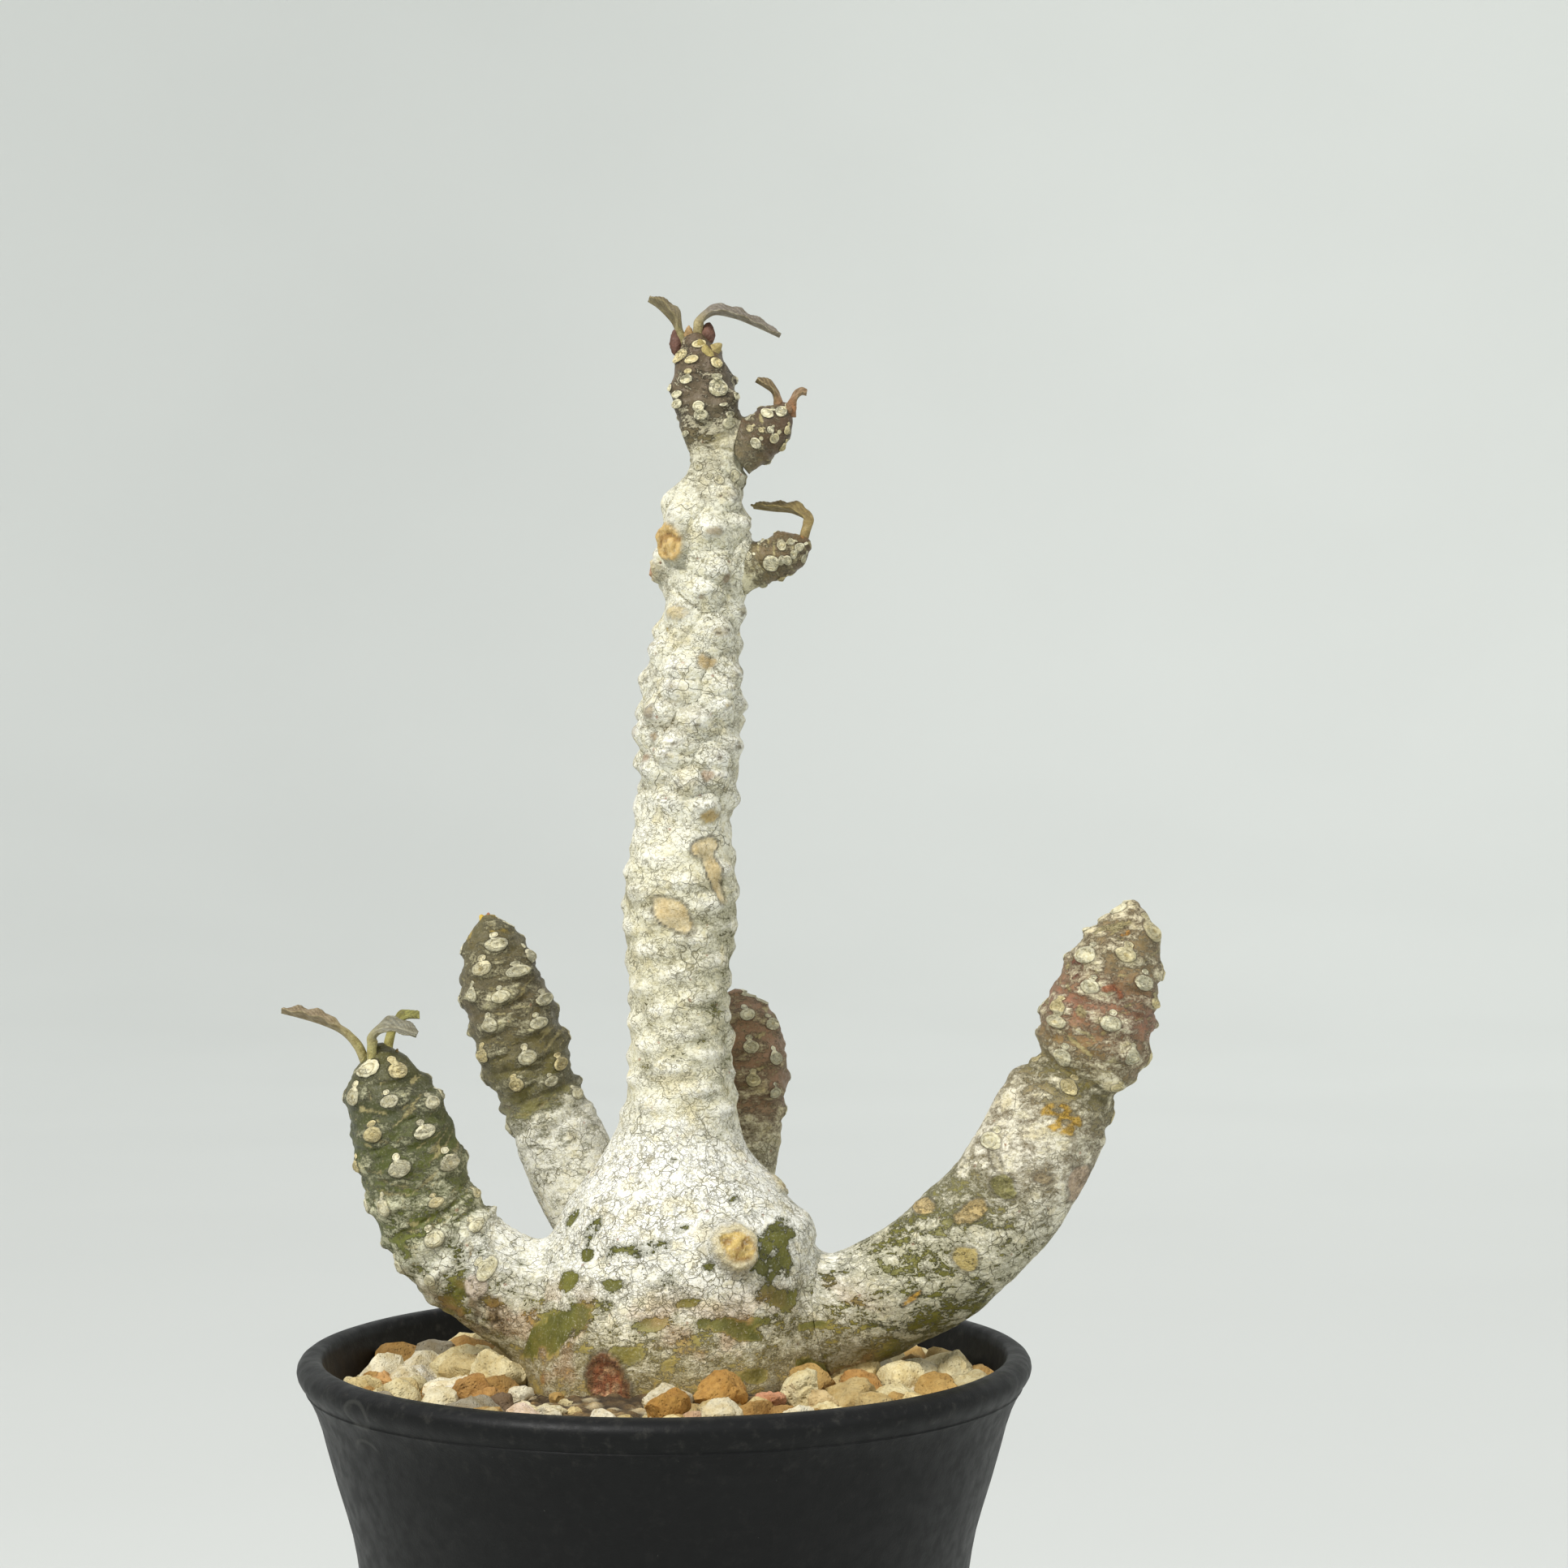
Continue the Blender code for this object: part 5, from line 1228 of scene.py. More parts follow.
def leaf_skin(name, spec, material):
    """A petiole and a thin pleated blade with a crinkled edge; the two faces carry the same waves."""
    stem = Stem([p[:4] for p in spec["spine"]])
    blade_of = Stem([(*p[:3], p[4]) for p in spec["spine"]])
    rings, half = 90, 15
    arcs = np.linspace(0.0, stem.length, rings)
    row = np.stack([np.interp(arcs, stem.arcs, stem.path[:, k]) for k in range(4)], axis=1)
    share = np.clip(np.interp(arcs, blade_of.arcs, blade_of.path[:, 3]), 0.0, 1.0)
    along = np.gradient(row[:, :3], axis=0)
    along /= np.linalg.norm(along, axis=1)[:, None]
    up = np.array(spec["up"]) / np.linalg.norm(spec["up"])
    fold = math.radians(spec["fold"])
    side = np.cross(along, up)
    side /= np.linalg.norm(side, axis=1)[:, None]
    top = np.cross(side, along)
    count = 2 * half
    k = np.arange(count)
    u = np.where(k < half, 2.0 * k / (half - 1) - 1.0, 2.0 * (count - 1 - k) / (half - 1) - 1.0)
    over = np.where(k < half, 1.0, -1.0)
    turn = math.pi * (1.0 - (k + 0.5) * 2.0 / count)
    u2, o2 = np.broadcast_to(u, (rings, count)), np.broadcast_to(over, (rings, count))
    a2 = np.broadcast_to(arcs[:, None], (rings, count))
    spot = np.column_stack((a2.ravel(), 3.0 * u2.ravel(), np.zeros(rings * count)))
    edge = np.abs(u2)
    ruffle = noise(spot * np.array((1.0, 0.3, 1.0)), 1.3, hash_of(name)).reshape(rings, count)
    width = row[:, 3:4] * (1.0 + 0.07 * ruffle * (edge > 0.9))
    pleat = np.sin(3.8 * (a2 - 1.2 * edge * row[:, 3:4]))
    lift = edge * row[:, 3:4] * math.sin(fold) + 0.4 * spec["wave"] * edge * np.sin(2.4 * a2 + 2.0 * u2)
    lift = lift + 0.07 * np.abs(pleat) * np.minimum(edge * 2.0, 1.0) + 0.14 * ruffle * edge**2
    midrib = np.exp(-((u2 / 0.13) ** 2))
    lift = lift - 0.12 * midrib * (o2 > 0)
    thick = 0.15 + 0.2 * midrib
    x = width * u2 * math.cos(fold)
    z = lift + o2 * thick * np.sqrt(np.maximum(1.0 - edge**6, 0.02))
    petiole = 0.66 * np.stack((np.cos(turn), np.sin(turn)), axis=-1)
    s2 = share[:, None]
    x = (1.0 - s2) * petiole[None, :, 0] + s2 * x
    z = (1.0 - s2) * petiole[None, :, 1] + s2 * z
    points = row[:, None, :3] + x[:, :, None] * side[:, None, :] + z[:, :, None] * top[:, None, :]
    points = points.reshape(-1, 3)
    i = np.arange(rings - 1)[:, None] * count
    n = (k + 1) % count
    faces = np.stack((i + k, i + n, i + count + n, i + count + k), axis=-1).reshape(-1, 4).tolist()
    for ring, flip in ((0, True), (rings - 1, False)):
        base = ring * count
        for j in range(half - 1):
            quad = [base + j, base + j + 1, base + count - 2 - j, base + count - 1 - j]
            faces.append(quad[::-1] if flip else quad)
    main, light, dark = (linear(*tone) for tone in spec["tones"])
    vein = np.exp(-((pleat / 0.3) ** 2)) * step(edge, 0.08, 0.3) * s2
    colour = np.tile(main, (rings * count, 1))
    colour = mix(colour, light, (0.75 * np.maximum(midrib * s2, 0.55 * vein)).ravel())
    colour = mix(colour, light, (0.85 * step(edge, 0.84, 0.97) * s2).ravel())
    colour = mix(colour, dark, (0.5 * step(np.abs(pleat), 0.5, 1.0) * s2).ravel())
    colour = mix(colour, linear(*spec["petiole"]), (1.0 - s2 + 0.0 * u2).ravel() * 0.9)
    bottoms = mix(colour, light, 0.25 * (o2 < 0).ravel())
    rgba = np.column_stack((bottoms, (edge * s2).ravel()))
    made = piece(name + "_skin", points, faces, {"skin": rgba}, material, name)
    return made


def hash_of(name):
    return sum(ord(c) * (k + 3) for k, c in enumerate(name)) % 997


def leaf_material():
    s = Shader("leaf_look")
    skin, edge = s.attribute("skin")
    colour = s.mix(s.span(s.noise(1.1, 4.0, 0.62), 0.38, 0.64), skin, s.shade(skin, (0.68, 0.64, 0.54)))
    down = s.span(s.noise(0.2, 3.0, 0.65), 0.52, 0.7, 0.0, 0.6)
    colour = s.mix(down, colour, s.shade(colour, (1.55, 1.5, 1.42)))
    veins = s.span(s.cells(0.6, "DISTANCE_TO_EDGE", s.shifted(0.9, 0.4)), 0.02, 0.13, 1.0, 0.0)
    colour = s.mix(s.times(veins, 0.3), colour, s.shade(colour, (1.4, 1.34, 1.18)))
    normal = s.bump(s.add(s.times(veins, -0.6), s.noise(0.3, 3.0, 0.6)), 0.06)
    return s.done(colour, s.span(s.noise(0.6, 2.0), 0.3, 0.7, 0.55, 0.78), normal)


BUDS = {
    # Photograph's column and row, distance behind the front of the pot's axis, length, width, thickness, lean, colour.
    "bud_left": (833, 423, 0.4, 1.9, 0.9, 0.8, 8.0, (104, 72, 60)),
    "bud_right": (871, 412, 0.6, 1.7, 1.2, 1.0, -12.0, (116, 82, 68)),
    "bud_middle": (849, 412, 0.0, 1.2, 0.7, 0.7, 4.0, (170, 140, 96)),
    "bract_top": (870, 436, -2.9, 2.2, 0.95, 0.35, 28.0, (172, 156, 96)),
    "bract_side": (879, 432, -1.8, 1.5, 0.9, 0.35, -50.0, (166, 150, 98)),
    "bud_upper": (976, 507, -1.0, 0.9, 0.55, 0.5, -36.0, (146, 106, 70)),
    "bud_upper_side": (972, 503, -1.6, 0.8, 0.4, 0.35, 20.0, (132, 104, 74)),
    "bud_lower": (990, 668, -1.2, 0.9, 0.45, 0.4, 20.0, (150, 112, 66)),
    "bud_back_left": (596, 1135, 19.6, 1.0, 0.6, 0.5, 30.0, (208, 176, 70)),
    "bud_back_left_red": (601, 1131, 20.0, 0.8, 0.4, 0.35, -10.0, (168, 112, 84)),
    "bud_left_arm": (462, 1303, -2.2, 0.9, 0.45, 0.4, 24.0, (150, 122, 82)),
    "bud_left_arm_side": (487, 1299, -1.4, 0.8, 0.4, 0.35, -24.0, (142, 120, 72)),
}


def bud_pieces(material):
    """Small scales and buds at the growing tips, in one piece."""
    unit, triangles = ico(4)
    points, faces, colours, foot = [], [], [], 0
    for number, (column, row, depth, length, width, thick, lean, tone) in enumerate(BUDS.values()):
        scale = PIXELS_MM / (depth - EYE[1])
        centre = np.array((EYE[0] + (column - MIDDLE) / scale, depth, EYE[2] - (row - MIDDLE) / scale))
        taper = 1.0 - 0.35 * np.clip(unit[:, 2], 0.0, 1.0)
        body = unit * np.array((width, thick, length))
        body[:, :2] *= taper[:, None]
        body[:, 1] += 0.25 * width * (unit[:, 0] ** 2) * (thick < 0.5 * width)
        a = math.radians(lean)
        body = np.column_stack((body[:, 0] * math.cos(a) - body[:, 2] * math.sin(a), body[:, 1],
                                body[:, 0] * math.sin(a) + body[:, 2] * math.cos(a)))
        body = body + centre
        rough = 0.16 * layered(body, 0.7, 300 + number, 3) + 0.06 * noise(body, 0.25, 320)
        body = body + unit * (rough * min(1.0, 2.0 * thick))[:, None]
        shade = 1.0 + 0.3 * layered(body, 0.6, 340, 3)
        points.append(body)
        faces.append(triangles + foot)
        foot += len(unit)
        colours.append(np.column_stack((np.clip(linear(*tone) * shade[:, None], 0.0, 1.0), np.ones(len(unit)))))
    skin = {"skin": np.vstack(colours)}
    return piece("buds", np.vstack(points), np.vstack(faces), skin, material, None)


# Pot.

POT_OUTER = (
    (46.62, 99.55), (46.9, 99.85), (47.4, 99.98), (48.2, 99.98), (48.9, 99.75), (49.5, 99.3), (49.85, 98.7),
    (49.95, 98.05), (49.8, 97.4), (49.45, 96.75), (48.95, 96.1), (48.72, 95.75), (48.78, 95.55), (48.62, 95.35),
    (48.1, 94.5), (47.4, 93.0), (46.6, 90.7), (45.9, 88.0), (44.6, 83.4), (43.3, 79.2), (42.5, 76.4), (41.9, 73.4),
    (41.4, 70.0), (37.4, 8.0), (37.1, 4.2), (36.2, 1.8), (35.2, 0.45), (34.4, 0.02),
)
POT_INNER = (
    (34.2, 5.0), (35.4, 6.6), (39.2, 70.0), (40.6, 77.5), (42.3, 83.2), (43.8, 88.4), (44.7, 91.2), (45.4, 93.6),
    (46.0, 96.2), (46.45, 98.4),
)
POT_SIDES = 300


def pot_skin(material):
    """The pot turned on a fine grid, with its six drain holes left to the floor's own ring of cells."""
    profile = np.array([*POT_INNER, *POT_OUTER])
    steps = np.linalg.norm(np.diff(profile, axis=0), axis=1)
    run = np.concatenate(([0.0], np.cumsum(steps)))
    fine = np.concatenate([np.linspace(a, b, max(2, int((b - a) / 2.2) + 1))[:-1] for a, b in zip(run[:-1], run[1:])] + [[run[-1]]])
    r = np.interp(fine, run, profile[:, 0])
    z = np.interp(fine, run, profile[:, 1])
    turn = np.arange(POT_SIDES) * TAU / POT_SIDES
    wobble = 0.05 * np.sin(3.0 * turn + 0.6) + 0.03 * np.sin(7.0 * turn)
    radius = r[:, None] + wobble * np.clip(z[:, None] / 100.0, 0.0, 1.0) - 0.06
    points = np.stack((radius * np.cos(turn), radius * np.sin(turn), np.repeat(z[:, None], POT_SIDES, axis=1)), axis=-1)
    rows = len(r)
    i = np.arange(rows - 1)[:, None] * POT_SIDES
    k = np.arange(POT_SIDES)[None, :]
    n = (k + 1) % POT_SIDES
    walls = np.stack((i + n, i + k, i + POT_SIDES + k, i + POT_SIDES + n), axis=-1).reshape(-1, 4).tolist()
    points = points.reshape(-1, 3)
    floor, holes = pot_floor(points[:POT_SIDES], points[-POT_SIDES:], len(points))
    points = np.vstack((points, floor))
    mesh = bpy.data.meshes.new("pot_skin")
    mesh.from_pydata((points * MM).tolist(), [], walls + holes)
    mesh.materials.append(material)
    mesh.shade_smooth()
    mesh.set_sharp_from_angle(angle=math.radians(38.0))
    obj = bpy.data.objects.new("pot_skin", mesh)
    bpy.context.scene.collection.objects.link(obj)
    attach(obj, "root")
    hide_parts("pot")
    return obj


DRAIN_RADIUS = 5.0
DRAIN_RING = 21.0
DRAIN_COUNT = 6


def pot_floor(upper_edge, lower_edge, first):
    """Both faces of the floor, each sector with a round hole, and the holes' walls. Rim points are shared."""
    points, faces = [], []
    per = POT_SIDES // DRAIN_COUNT
    hole_sides = 40

    def add(p):
        points.append(p)
        return first + len(points) - 1

    layers = []
    for z, rim_start in ((5.0, 0), (0.0, first - POT_SIDES)):
        hub = add((0.0, 0.0, z))
        inner_count = 8
        inner = [[0] * (inner_count + 1) for _ in range(DRAIN_COUNT)]
        spokes = []
        for d in range(DRAIN_COUNT):
            a = TAU * d / DRAIN_COUNT
            spokes.append([add((rr * math.cos(a), rr * math.sin(a), z)) for rr in (9.0, 15.0, 21.0, 27.0)])
        holes = []
        for d in range(DRAIN_COUNT):
            mid = TAU * (d + 0.5) / DRAIN_COUNT
            centre = (DRAIN_RING * math.cos(mid), DRAIN_RING * math.sin(mid))
            ring = []
            for h in range(hole_sides):
                t = mid + TAU * h / hole_sides
                ring.append(add((centre[0] + DRAIN_RADIUS * math.cos(t), centre[1] + DRAIN_RADIUS * math.sin(t), z)))
            holes.append(ring)
            # The sector's outline, walked from its outer middle round to the same place.
            nxt = (d + 1) % DRAIN_COUNT
            rim = [rim_start + (d * per + j) % POT_SIDES for j in range(per + 1)]
            half = per // 2
            outline = rim[half:] + spokes[nxt][::-1] + spokes[d] + rim[:half]
            faces.extend(collar(outline, ring, z > 1.0))
            tri = [hub, spokes[d][0], spokes[nxt][0]]
            faces.append(tri if z > 1.0 else tri[::-1])
        layers.append(holes)
    for up, down in zip(*layers):
        for h in range(hole_sides):
            n = (h + 1) % hole_sides
            faces.append([up[h], up[n], down[n], down[h]])
    return np.array(points), faces


def collar(outline, ring, upward):
    """Triangles between a closed outline and a ring that both start in the same direction and run the same way."""
    faces = []
    a, b = 0, 0
    while a < len(outline) or b < len(ring):
        if b >= len(ring) or (a < len(outline) and (a + 1) / len(outline) <= (b + 1) / len(ring)):
            tri = [outline[a], outline[(a + 1) % len(outline)], ring[b % len(ring)]]
            a += 1
        else:
            tri = [outline[a % len(outline)], ring[(b + 1) % len(ring)], ring[b]]
            b += 1
        faces.append(tri if upward else tri[::-1])
    return faces


def pot_material():
    s = Shader("pot_look")
    where = s.tree.nodes.new("ShaderNodeSeparateXYZ")
    s.put(where, 0, s.mm)
    height = where.outputs[2]
    colour = s.mix(s.span(s.noise(16.0, 3.0), 0.35, 0.7), linear(9, 10, 10), linear(12, 13, 13))
    dust = s.span(s.noise(1.6, 5.0, 0.68), 0.5, 0.74, 0.0, 0.1)
    dust = s.times(dust, s.span(height, 90.0, 98.5, 0.2, 1.0))
    colour = s.mix(dust, colour, linear(120, 117, 108))
    ring = s.cells(11.0, "F1")
    tide = s.times(s.span(ring, 0.3, 0.33), s.span(ring, 0.345, 0.375, 1.0, 0.0))
    tide = s.times(tide, s.span(s.noise(26.0, 2.0), 0.6, 0.66, 0.0, 0.1))
    specks = s.span(s.noise(0.5, 2.0, 0.7), 0.75, 0.8, 0.0, 0.2)
    colour = s.mix(s.most(tide, specks), colour, linear(128, 128, 120))
    normal = s.bump(s.noise(0.25, 2.0, 0.7), 0.03)
    normal = s.bump(s.noise(3.0, 3.0), 0.03, normal)
    rough = s.span(s.noise(2.2, 3.0), 0.3, 0.7, 0.44, 0.56)
    s.main.inputs["Specular IOR Level"].default_value = 0.22
    return s.done(colour, rough, normal)


# Soil and stones.

STONE_COUNT = 104
STONE_SIZE = (2.5, 3.9)
STONE_RING = (21.8, 43.2)
STONE_WALL = 44.6
STONE_LIFT = 0.35


def soil_height(radius):
    return 93.0 + 3.0 * np.exp(-np.maximum(0.0, radius - 20.0) / 10.0)


def soil_tilt(x, y):
    return np.maximum(0.0, 0.025 * x - 0.045 * y)


STONE_TONES = (
    ((226, 213, 168), 26), ((216, 196, 142), 22), ((236, 228, 200), 12), ((190, 156, 92), 14), ((174, 136, 74), 14),
    ((204, 180, 124), 12), ((206, 172, 138), 2), ((150, 142, 122), 3), ((86, 80, 70), 2), ((232, 228, 212), 6),
)


def ico(level):
    import bmesh

    shape = bmesh.new()
    bmesh.ops.create_icosphere(shape, subdivisions=level, radius=1.0)
    points = np.array([v.co[:] for v in shape.verts])
    faces = np.array([[v.index for v in f.verts] for f in shape.faces])
    shape.free()
    return points, faces


def stone_shape(unit, draw, size):
    """A crushed stone: a solid between random planes with slightly worn edges."""
    planes = np.array([[draw.gauss(0.0, 1.0) for _ in range(3)] for _ in range(9)])
    planes /= np.linalg.norm(planes, axis=1)[:, None]
    reach = np.array([draw.uniform(0.6, 0.95) for _ in range(9)])
    hit = np.clip(unit @ planes.T, 0.0, None) / reach
    radius = 1.0 / ((hit**34).sum(axis=1) + 0.02) ** (1.0 / 34.0)
    points = unit * radius[:, None] * np.array((1.08, draw.uniform(0.82, 1.02), draw.uniform(0.7, 0.92)))
    a, b = draw.uniform(0.0, TAU), draw.uniform(-0.6, 0.6)
    turn_x = np.array(((1, 0, 0), (0, math.cos(b), -math.sin(b)), (0, math.sin(b), math.cos(b))))
    turn_z = np.array(((math.cos(a), -math.sin(a), 0), (math.sin(a), math.cos(a), 0), (0, 0, 1)))
    return (points @ turn_x.T @ turn_z.T) * size


# The stones that show best along the front wall: photograph's column and row, width, colour.
STONES_SEEN = (
    (891, 1712, 66, (186, 142, 72)), (820, 1727, 56, (178, 134, 62)), (948, 1716, 34, (206, 150, 116)),
    (986, 1712, 58, (226, 214, 170)), (1055, 1716, 60, (184, 140, 78)), (1130, 1708, 66, (226, 216, 180)),
    (1111, 1687, 34, (146, 138, 118)), (742, 1738, 36, (236, 228, 204)), (1012, 1735, 44, (206, 182, 132)),
    (893, 1738, 50, (226, 216, 184)), (1180, 1662, 56, (222, 210, 168)), (1210, 1690, 36, (206, 170, 108)),
    (640, 1742, 44, (228, 206, 184)), (680, 1722, 30, (206, 196, 160)), (585, 1718, 62, (176, 134, 74)),
    (505, 1690, 44, (226, 216, 184)), (546, 1668, 48, (224, 214, 180)), (598, 1684, 44, (190, 148, 88)),
    (560, 1708, 40, (232, 226, 206)), (470, 1700, 40, (206, 160, 100)), (622, 1700, 34, (110, 90, 66)),
)


# Places of the photograph that no loose stone hides: column, row and half width.
CLEAR_SEEN = ((751, 1705, 36),)


def hides(centre, size):
    """Whether a stone stands before one of the places that stay clear."""
    scale = (centre[1] - EYE[1]) / PIXELS_MM
    column, row = MIDDLE + (centre[0] - EYE[0]) / scale, MIDDLE - (centre[2] - EYE[2]) / scale
    reach = size / scale
    return centre[1] < 0.0 and any(
        abs(column - c) < half + reach and row - reach < r + 20.0 for c, r, half in CLEAR_SEEN
    )


def stone_spots():
    """Centre, radius, colour and whether it is a full-size stone, for every stone and crumb."""
    draw = random.Random(7)
    tones = [linear(*tone) for tone, count in STONE_TONES for _ in range(count)]
    spots = []
    for column, row, width, tone in STONES_SEEN:
        size = 0.5 * width * 0.103
        reach = 22.4 + 0.9 * size + 14.0 * max(0.0, (row - 1705.0) / 40.0)
        if row < 1700 or column < 640 or column > 1150:
            reach = 30.0 if row > 1680 else 35.0
        depth = -math.sqrt(max(4.0, reach**2 - (0.104 * (column - 817.0)) ** 2))
        for _ in range(3):
            scale = (depth - EYE[1]) / PIXELS_MM
            x = EYE[0] + (column - MIDDLE) * scale
        z = EYE[2] - (row - MIDDLE) * scale
        floor = float(soil_height(math.hypot(x, depth)) + soil_tilt(x, depth))
        spots.append((np.array((x, depth, min(max(z, floor), floor + 0.9 * size))), size, linear(*tone), True))
    fixed = list(spots)
    inner, outer = STONE_RING
    for k in range(STONE_COUNT):
        share = (k + 0.5) / STONE_COUNT
        radius = math.sqrt(inner**2 + share * (outer**2 - inner**2)) + draw.uniform(-0.6, 0.6)
        angle = k * GOLDEN_ANGLE + draw.uniform(-0.05, 0.05)
        size = draw.uniform(*STONE_SIZE)
        radius = min(radius, STONE_WALL - 0.8 * size)
        x, y = radius * math.cos(angle), radius * math.sin(angle)
        tone = tones[draw.randrange(len(tones))] * draw.uniform(0.84, 1.1)
        centre = np.array((x, y, float(soil_height(radius) + STONE_LIFT * size + soil_tilt(x, y))))
        if all(np.hypot(*(centre - f[0])[:2]) > 0.72 * (size + f[1]) for f in fixed) and not hides(centre, size):
            spots.append((centre, size, tone, True))
    for k in range(260):
        radius = math.sqrt(21.0**2 + (k + 0.5) / 260 * (43.8**2 - 21.0**2)) + draw.uniform(-1.0, 1.0)
        radius = min(radius, 44.0)
        angle = k * GOLDEN_ANGLE + 1.3
        size = draw.uniform(0.8, 2.1)
        x, y = radius * math.cos(angle), radius * math.sin(angle)
        tone = tones[draw.randrange(len(tones))] * draw.uniform(0.8, 1.08)
        lift = draw.uniform(0.1, 0.9) * size
        centre = np.array((x, y, float(soil_height(radius) + lift + soil_tilt(x, y))))
        if not hides(centre, size):
            spots.append((centre, size, tone, False))
    return spots


def stone_pieces(material):
    """Every stone with its own shape and colour, in a front and a back piece."""
    unit, triangles = ico(4)
    small_unit, small_triangles = ico(3)
    spots = stone_spots()
    for label, side in (("stones_front", -1.0), ("stones_back", 1.0)):
        points, faces, colours, foot = [], [], [], 0
        for number, (centre, size, tone, big) in enumerate(spots):
            if (centre[1] >= 0.0) != (side > 0.0):
                continue
            shape = random.Random(1000 + number)
            sphere, tri = (unit, triangles) if big and side < 0.0 else (small_unit, small_triangles)
            body = stone_shape(sphere, shape, size * (1.1 if big else 1.0)) + centre
            out = (body - centre) / (np.linalg.norm(body - centre, axis=1)[:, None] + 1e-9)
            rough = 0.13 * size * layered(body, 1.5, 101 + number % 7, 4, 0.62) + 0.2 * noise(body, 0.6, 103)
            pits = cells(body, 0.9, 105)[0]
            body = body + out * (rough - 0.2 * step(0.36 - pits, 0.0, 0.2))[:, None]
            points.append(body)
            faces.append(tri + foot)
            foot += len(sphere)
            # Random tone, and painted shade in the pits dented into each stone.
            shade = 1.0 + 0.2 * layered(body, 2.2, 107, 3) - 0.25 * step(0.32 - pits, 0.0, 0.2)
            rgb = np.clip(tone * shade[:, None], 0.0, 1.0)
            colours.append(np.column_stack((rgb, np.full(len(rgb), shape.random()))))
        points, faces, colours = np.vstack(points), np.vstack(faces), np.vstack(colours)
        reach = np.hypot(points[:, 0], points[:, 1])
        wall = np.interp(points[:, 2], [r[1] for r in POT_INNER], [r[0] for r in POT_INNER]) - 0.12
        points[:, :2] *= np.minimum(1.0, wall / reach)[:, None]
        made = piece(label, points, faces, {"skin": colours}, material, "soil")
        made.data.set_sharp_from_angle(angle=math.radians(32.0))


def soil_skin(material):
    """The soil's own body: a rough top of grit, the wall and the base."""
    rings, sides = 150, 300
    radius = np.linspace(0.5, 44.8, rings)
    r2, t2 = np.meshgrid(radius, np.arange(sides) * TAU / sides, indexing="ij")
    x, y = (r2 * np.cos(t2)).ravel(), (r2 * np.sin(t2)).ravel()
    heap = 1.4 * step(-y, 8.0, 22.0) * (1.0 - step(np.hypot(x, y), 30.0, 38.0))
    top = np.column_stack((x, y, soil_height(r2.ravel()) + soil_tilt(x, y) - 0.5 + heap))
    first, second, own = cells(top * np.array((1.0, 1.0, 0.2)), 1.7, 111)
    top[:, 2] += 0.55 * (0.6 - first / 1.2) + 0.5 * layered(top, 4.0, 112, 3)
    own_tone = ramp(own, ((0.0, linear(92, 76, 54)), (0.45, linear(140, 116, 78)), (0.7, linear(176, 148, 100)),
                          (0.85, linear(206, 184, 140)), (1.0, linear(226, 212, 176))))
    # Painted shade: the grit darkens toward the low edges between its grains.
    shade = np.clip(1.1 - 0.7 * first, 0.25, 1.1)
    colours = np.column_stack((own_tone * shade[:, None], own))
    lower = [(r - 0.4, z) for r, z in POT_INNER if 6.0 < z < 93.0][::-1] + [(33.2, 5.3)]
    rows = [top]
    for r, z in lower:
        t = np.arange(sides) * TAU / sides
        rows.append(np.column_stack((r * np.cos(t), r * np.sin(t), np.full(sides, z))))
        colours = np.vstack((colours, np.tile((*linear(62, 52, 40), 0.5), (sides, 1))))
    points = np.vstack(rows)
    count = len(points) // sides
    i = np.arange(count - 1)[:, None] * sides
    k = np.arange(sides)[None, :]
    n = (k + 1) % sides
    faces = np.stack((i + k, i + sides + k, i + sides + n, i + n), axis=-1).reshape(-1, 4).tolist()
    hub = len(points)
    points = np.vstack((points, points[:sides].mean(axis=0), (0.0, 0.0, 5.3)))
    colours = np.vstack((colours, colours[:1], colours[-1:]))
    for k in range(sides):
        faces.append([hub, k, (k + 1) % sides])
        faces.append([hub + 1, hub - sides + (k + 1) % sides, hub - sides + k])
    return piece("soil_skin", points, faces, {"skin": colours}, material, "soil")


def stone_material(name, size):
    s = Shader(name)
    skin, own = s.attribute("skin")
    warm = s.span(s.noise(size * 1.6, 4.0, 0.6), 0.35, 0.7)
    colour = s.mix(warm, skin, s.mix(1.0, skin, (0.8, 0.72, 0.56), "MULTIPLY"))
    colour = s.mix(s.span(s.noise(0.3, 3.0, 0.7), 0.5, 0.72, 0.0, 0.5), colour, s.mix(1.0, colour, (0.55, 0.5, 0.42), "MULTIPLY"))
    colour = s.mix(s.span(s.noise(0.55, 3.0, 0.6), 0.56, 0.75, 0.0, 0.5), colour, s.mix(1.0, colour, (1.25, 1.25, 1.25), "MULTIPLY"))
    pits = s.span(s.cells(0.55, "F1"), 0.1, 0.4)
    height = s.math("ADD", s.math("MULTIPLY", pits, 0.5), s.noise(0.35, 4.0, 0.65))
    normal = s.bump(height, 0.26)
    return s.done(colour, s.span(s.noise(1.0, 2.0), 0.3, 0.7, 0.78, 0.95), normal)


# Stage.

CAMERA_PLACE = (0.0162, -0.435, 0.1771)
CAMERA_LENS = 73.1
BOWL = ((0.0, 0.0), (1.0, 0.0), (1.5, 0.0), (1.95, 0.05), (2.3, 0.2), (2.55, 0.5), (2.7, 0.9), (2.75, 1.4))


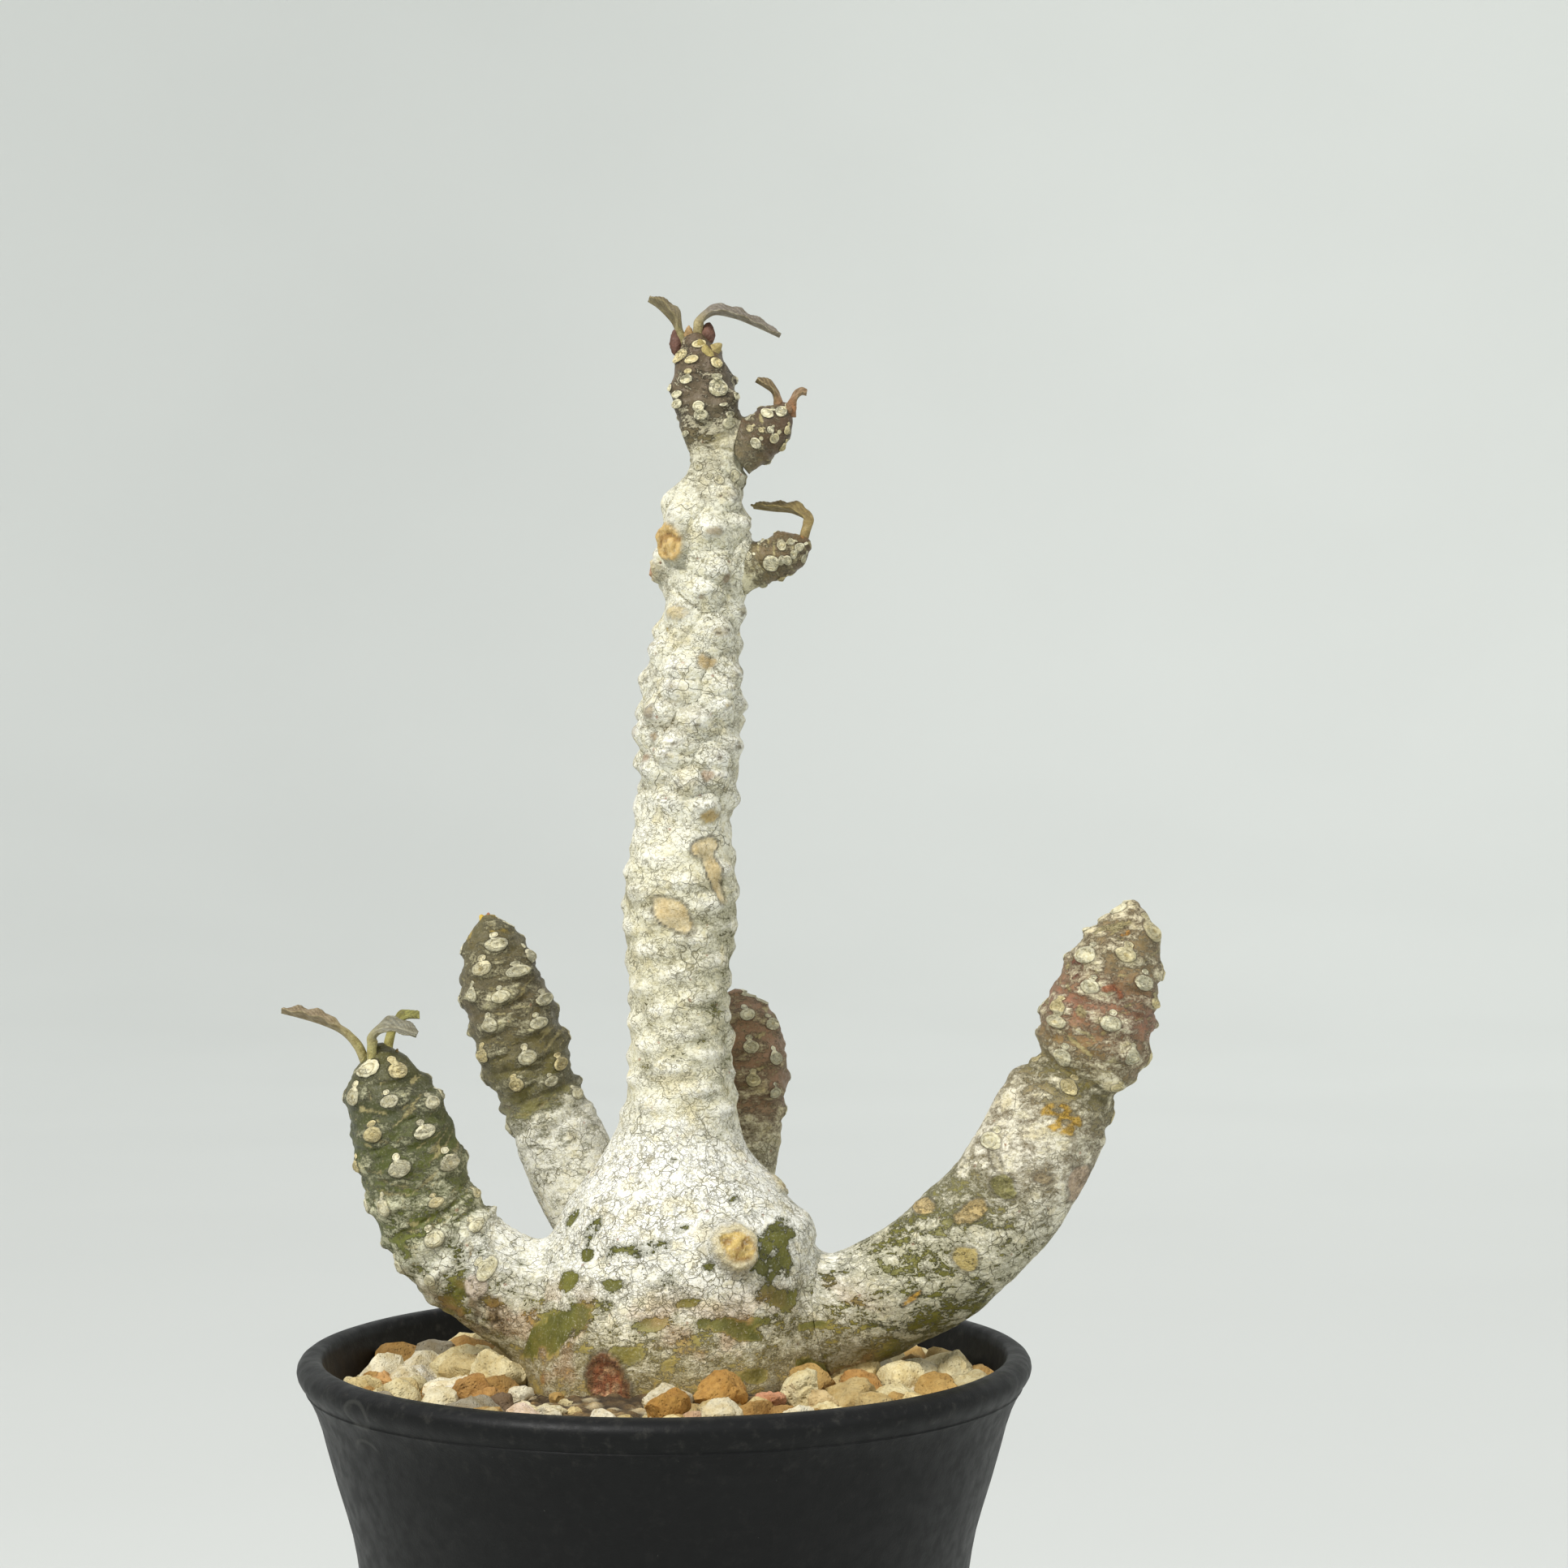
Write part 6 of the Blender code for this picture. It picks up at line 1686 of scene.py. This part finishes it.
def stage():
    """A pale floor that curves up all round, soft light from above and a large lamp to the upper left."""
    fine = np.linspace(0.0, len(BOWL) - 1, 60)
    curve = Stem([(r * 1000.0, 0.0, z * 1000.0, 1.0) for r, z in BOWL])
    profile = [curve.path[int(q / (len(BOWL) - 1) * (len(curve.path) - 1))] for q in fine]
    sides = 96
    points, faces = [], []
    for p in profile:
        for k in range(sides):
            t = TAU * k / sides
            points.append((p[0] * MM * math.cos(t), p[0] * MM * math.sin(t), max(0.0, p[2] * MM)))
    for i in range(len(profile) - 1):
        for k in range(sides):
            n = (k + 1) % sides
            faces.append((i * sides + k, i * sides + n, (i + 1) * sides + n, (i + 1) * sides + k))
    mesh = bpy.data.meshes.new("floor")
    mesh.from_pydata(points, [], faces)
    mesh.validate()
    mesh.shade_smooth()
    s = Shader("floor_look")
    tone = s.mix(s.span(s.noise(300.0, 2.0), 0.35, 0.7), linear(230, 233, 229), linear(228, 231, 227))
    where = s.tree.nodes.new("ShaderNodeSeparateXYZ")
    s.put(where, 0, s.mm)
    # Painted shade and light: the floor darkens toward the front and the left and lightens toward the right, against
    # the key lamp's fall of light.
    side = s.span(where.outputs[0], -500.0, 500.0, 0.97, 1.1)
    depth = s.span(where.outputs[1], 250.0, 1600.0, 0.78, 1.0)
    tone = s.vector("SCALE", tone, scale=s.times(side, depth))
    mesh.materials.append(s.done(tone, 0.95, s.bump(s.noise(0.8, 2.0), 0.01)))
    floor = bpy.data.objects.new("floor", mesh)
    bpy.context.scene.collection.objects.link(floor)

    scene = bpy.context.scene
    world = bpy.data.worlds.new("soft")
    world.use_nodes = True
    sky = world.node_tree.nodes["Background"]
    sky.inputs["Color"].default_value = (*linear(251, 252, 253), 1.0)
    sky.inputs["Strength"].default_value = 0.74
    scene.world = world
    for name, place, size, power, tint in (
        ("key", (-0.75, -1.0, 1.4), 0.34, 27.0, (1.0, 0.99, 0.975)),
        ("fill", (1.3, -0.9, 0.8), 0.9, 3.5, (0.98, 0.99, 1.0)),
    ):
        data = bpy.data.lights.new(name, "AREA")
        data.shape = "DISK"
        data.size = size
        data.energy = power
        data.color = tint
        lamp = bpy.data.objects.new(name, data)
        lamp.location = place
        aim = Vector((0.0, 0.0, 0.14)) - Vector(place)
        lamp.rotation_euler = aim.to_track_quat("-Z", "Y").to_euler()
        scene.collection.objects.link(lamp)

    data = bpy.data.cameras.new("camera")
    data.lens = CAMERA_LENS
    data.sensor_width = 36.0
    data.clip_start = 0.01
    camera = bpy.data.objects.new("camera", data)
    camera.location = CAMERA_PLACE
    camera.rotation_euler = (math.radians(90.0), 0.0, 0.0)
    scene.collection.objects.link(camera)
    scene.camera = camera
    scene.view_settings.view_transform = "Standard"


def main():
    bark = bark_material("bark_look", 1.1, 0.5, 0.9, 0.0)
    arm_bark = bark_material("arm_bark_look", 0.8, 0.42, 0.4, 0.2)
    trunk_skin(bark)
    for name, look in ARM_LOOKS.items():
        arm_skin(name, look, arm_bark)
    blade = leaf_material()
    for name, spec in LEAVES.items():
        leaf_skin(name, spec, blade)
    bud_pieces(blade)
    pot_skin(pot_material())
    stone_pieces(stone_material("stone_look", 1.2))
    soil_skin(stone_material("grit_look", 0.6))
    stage()


main()
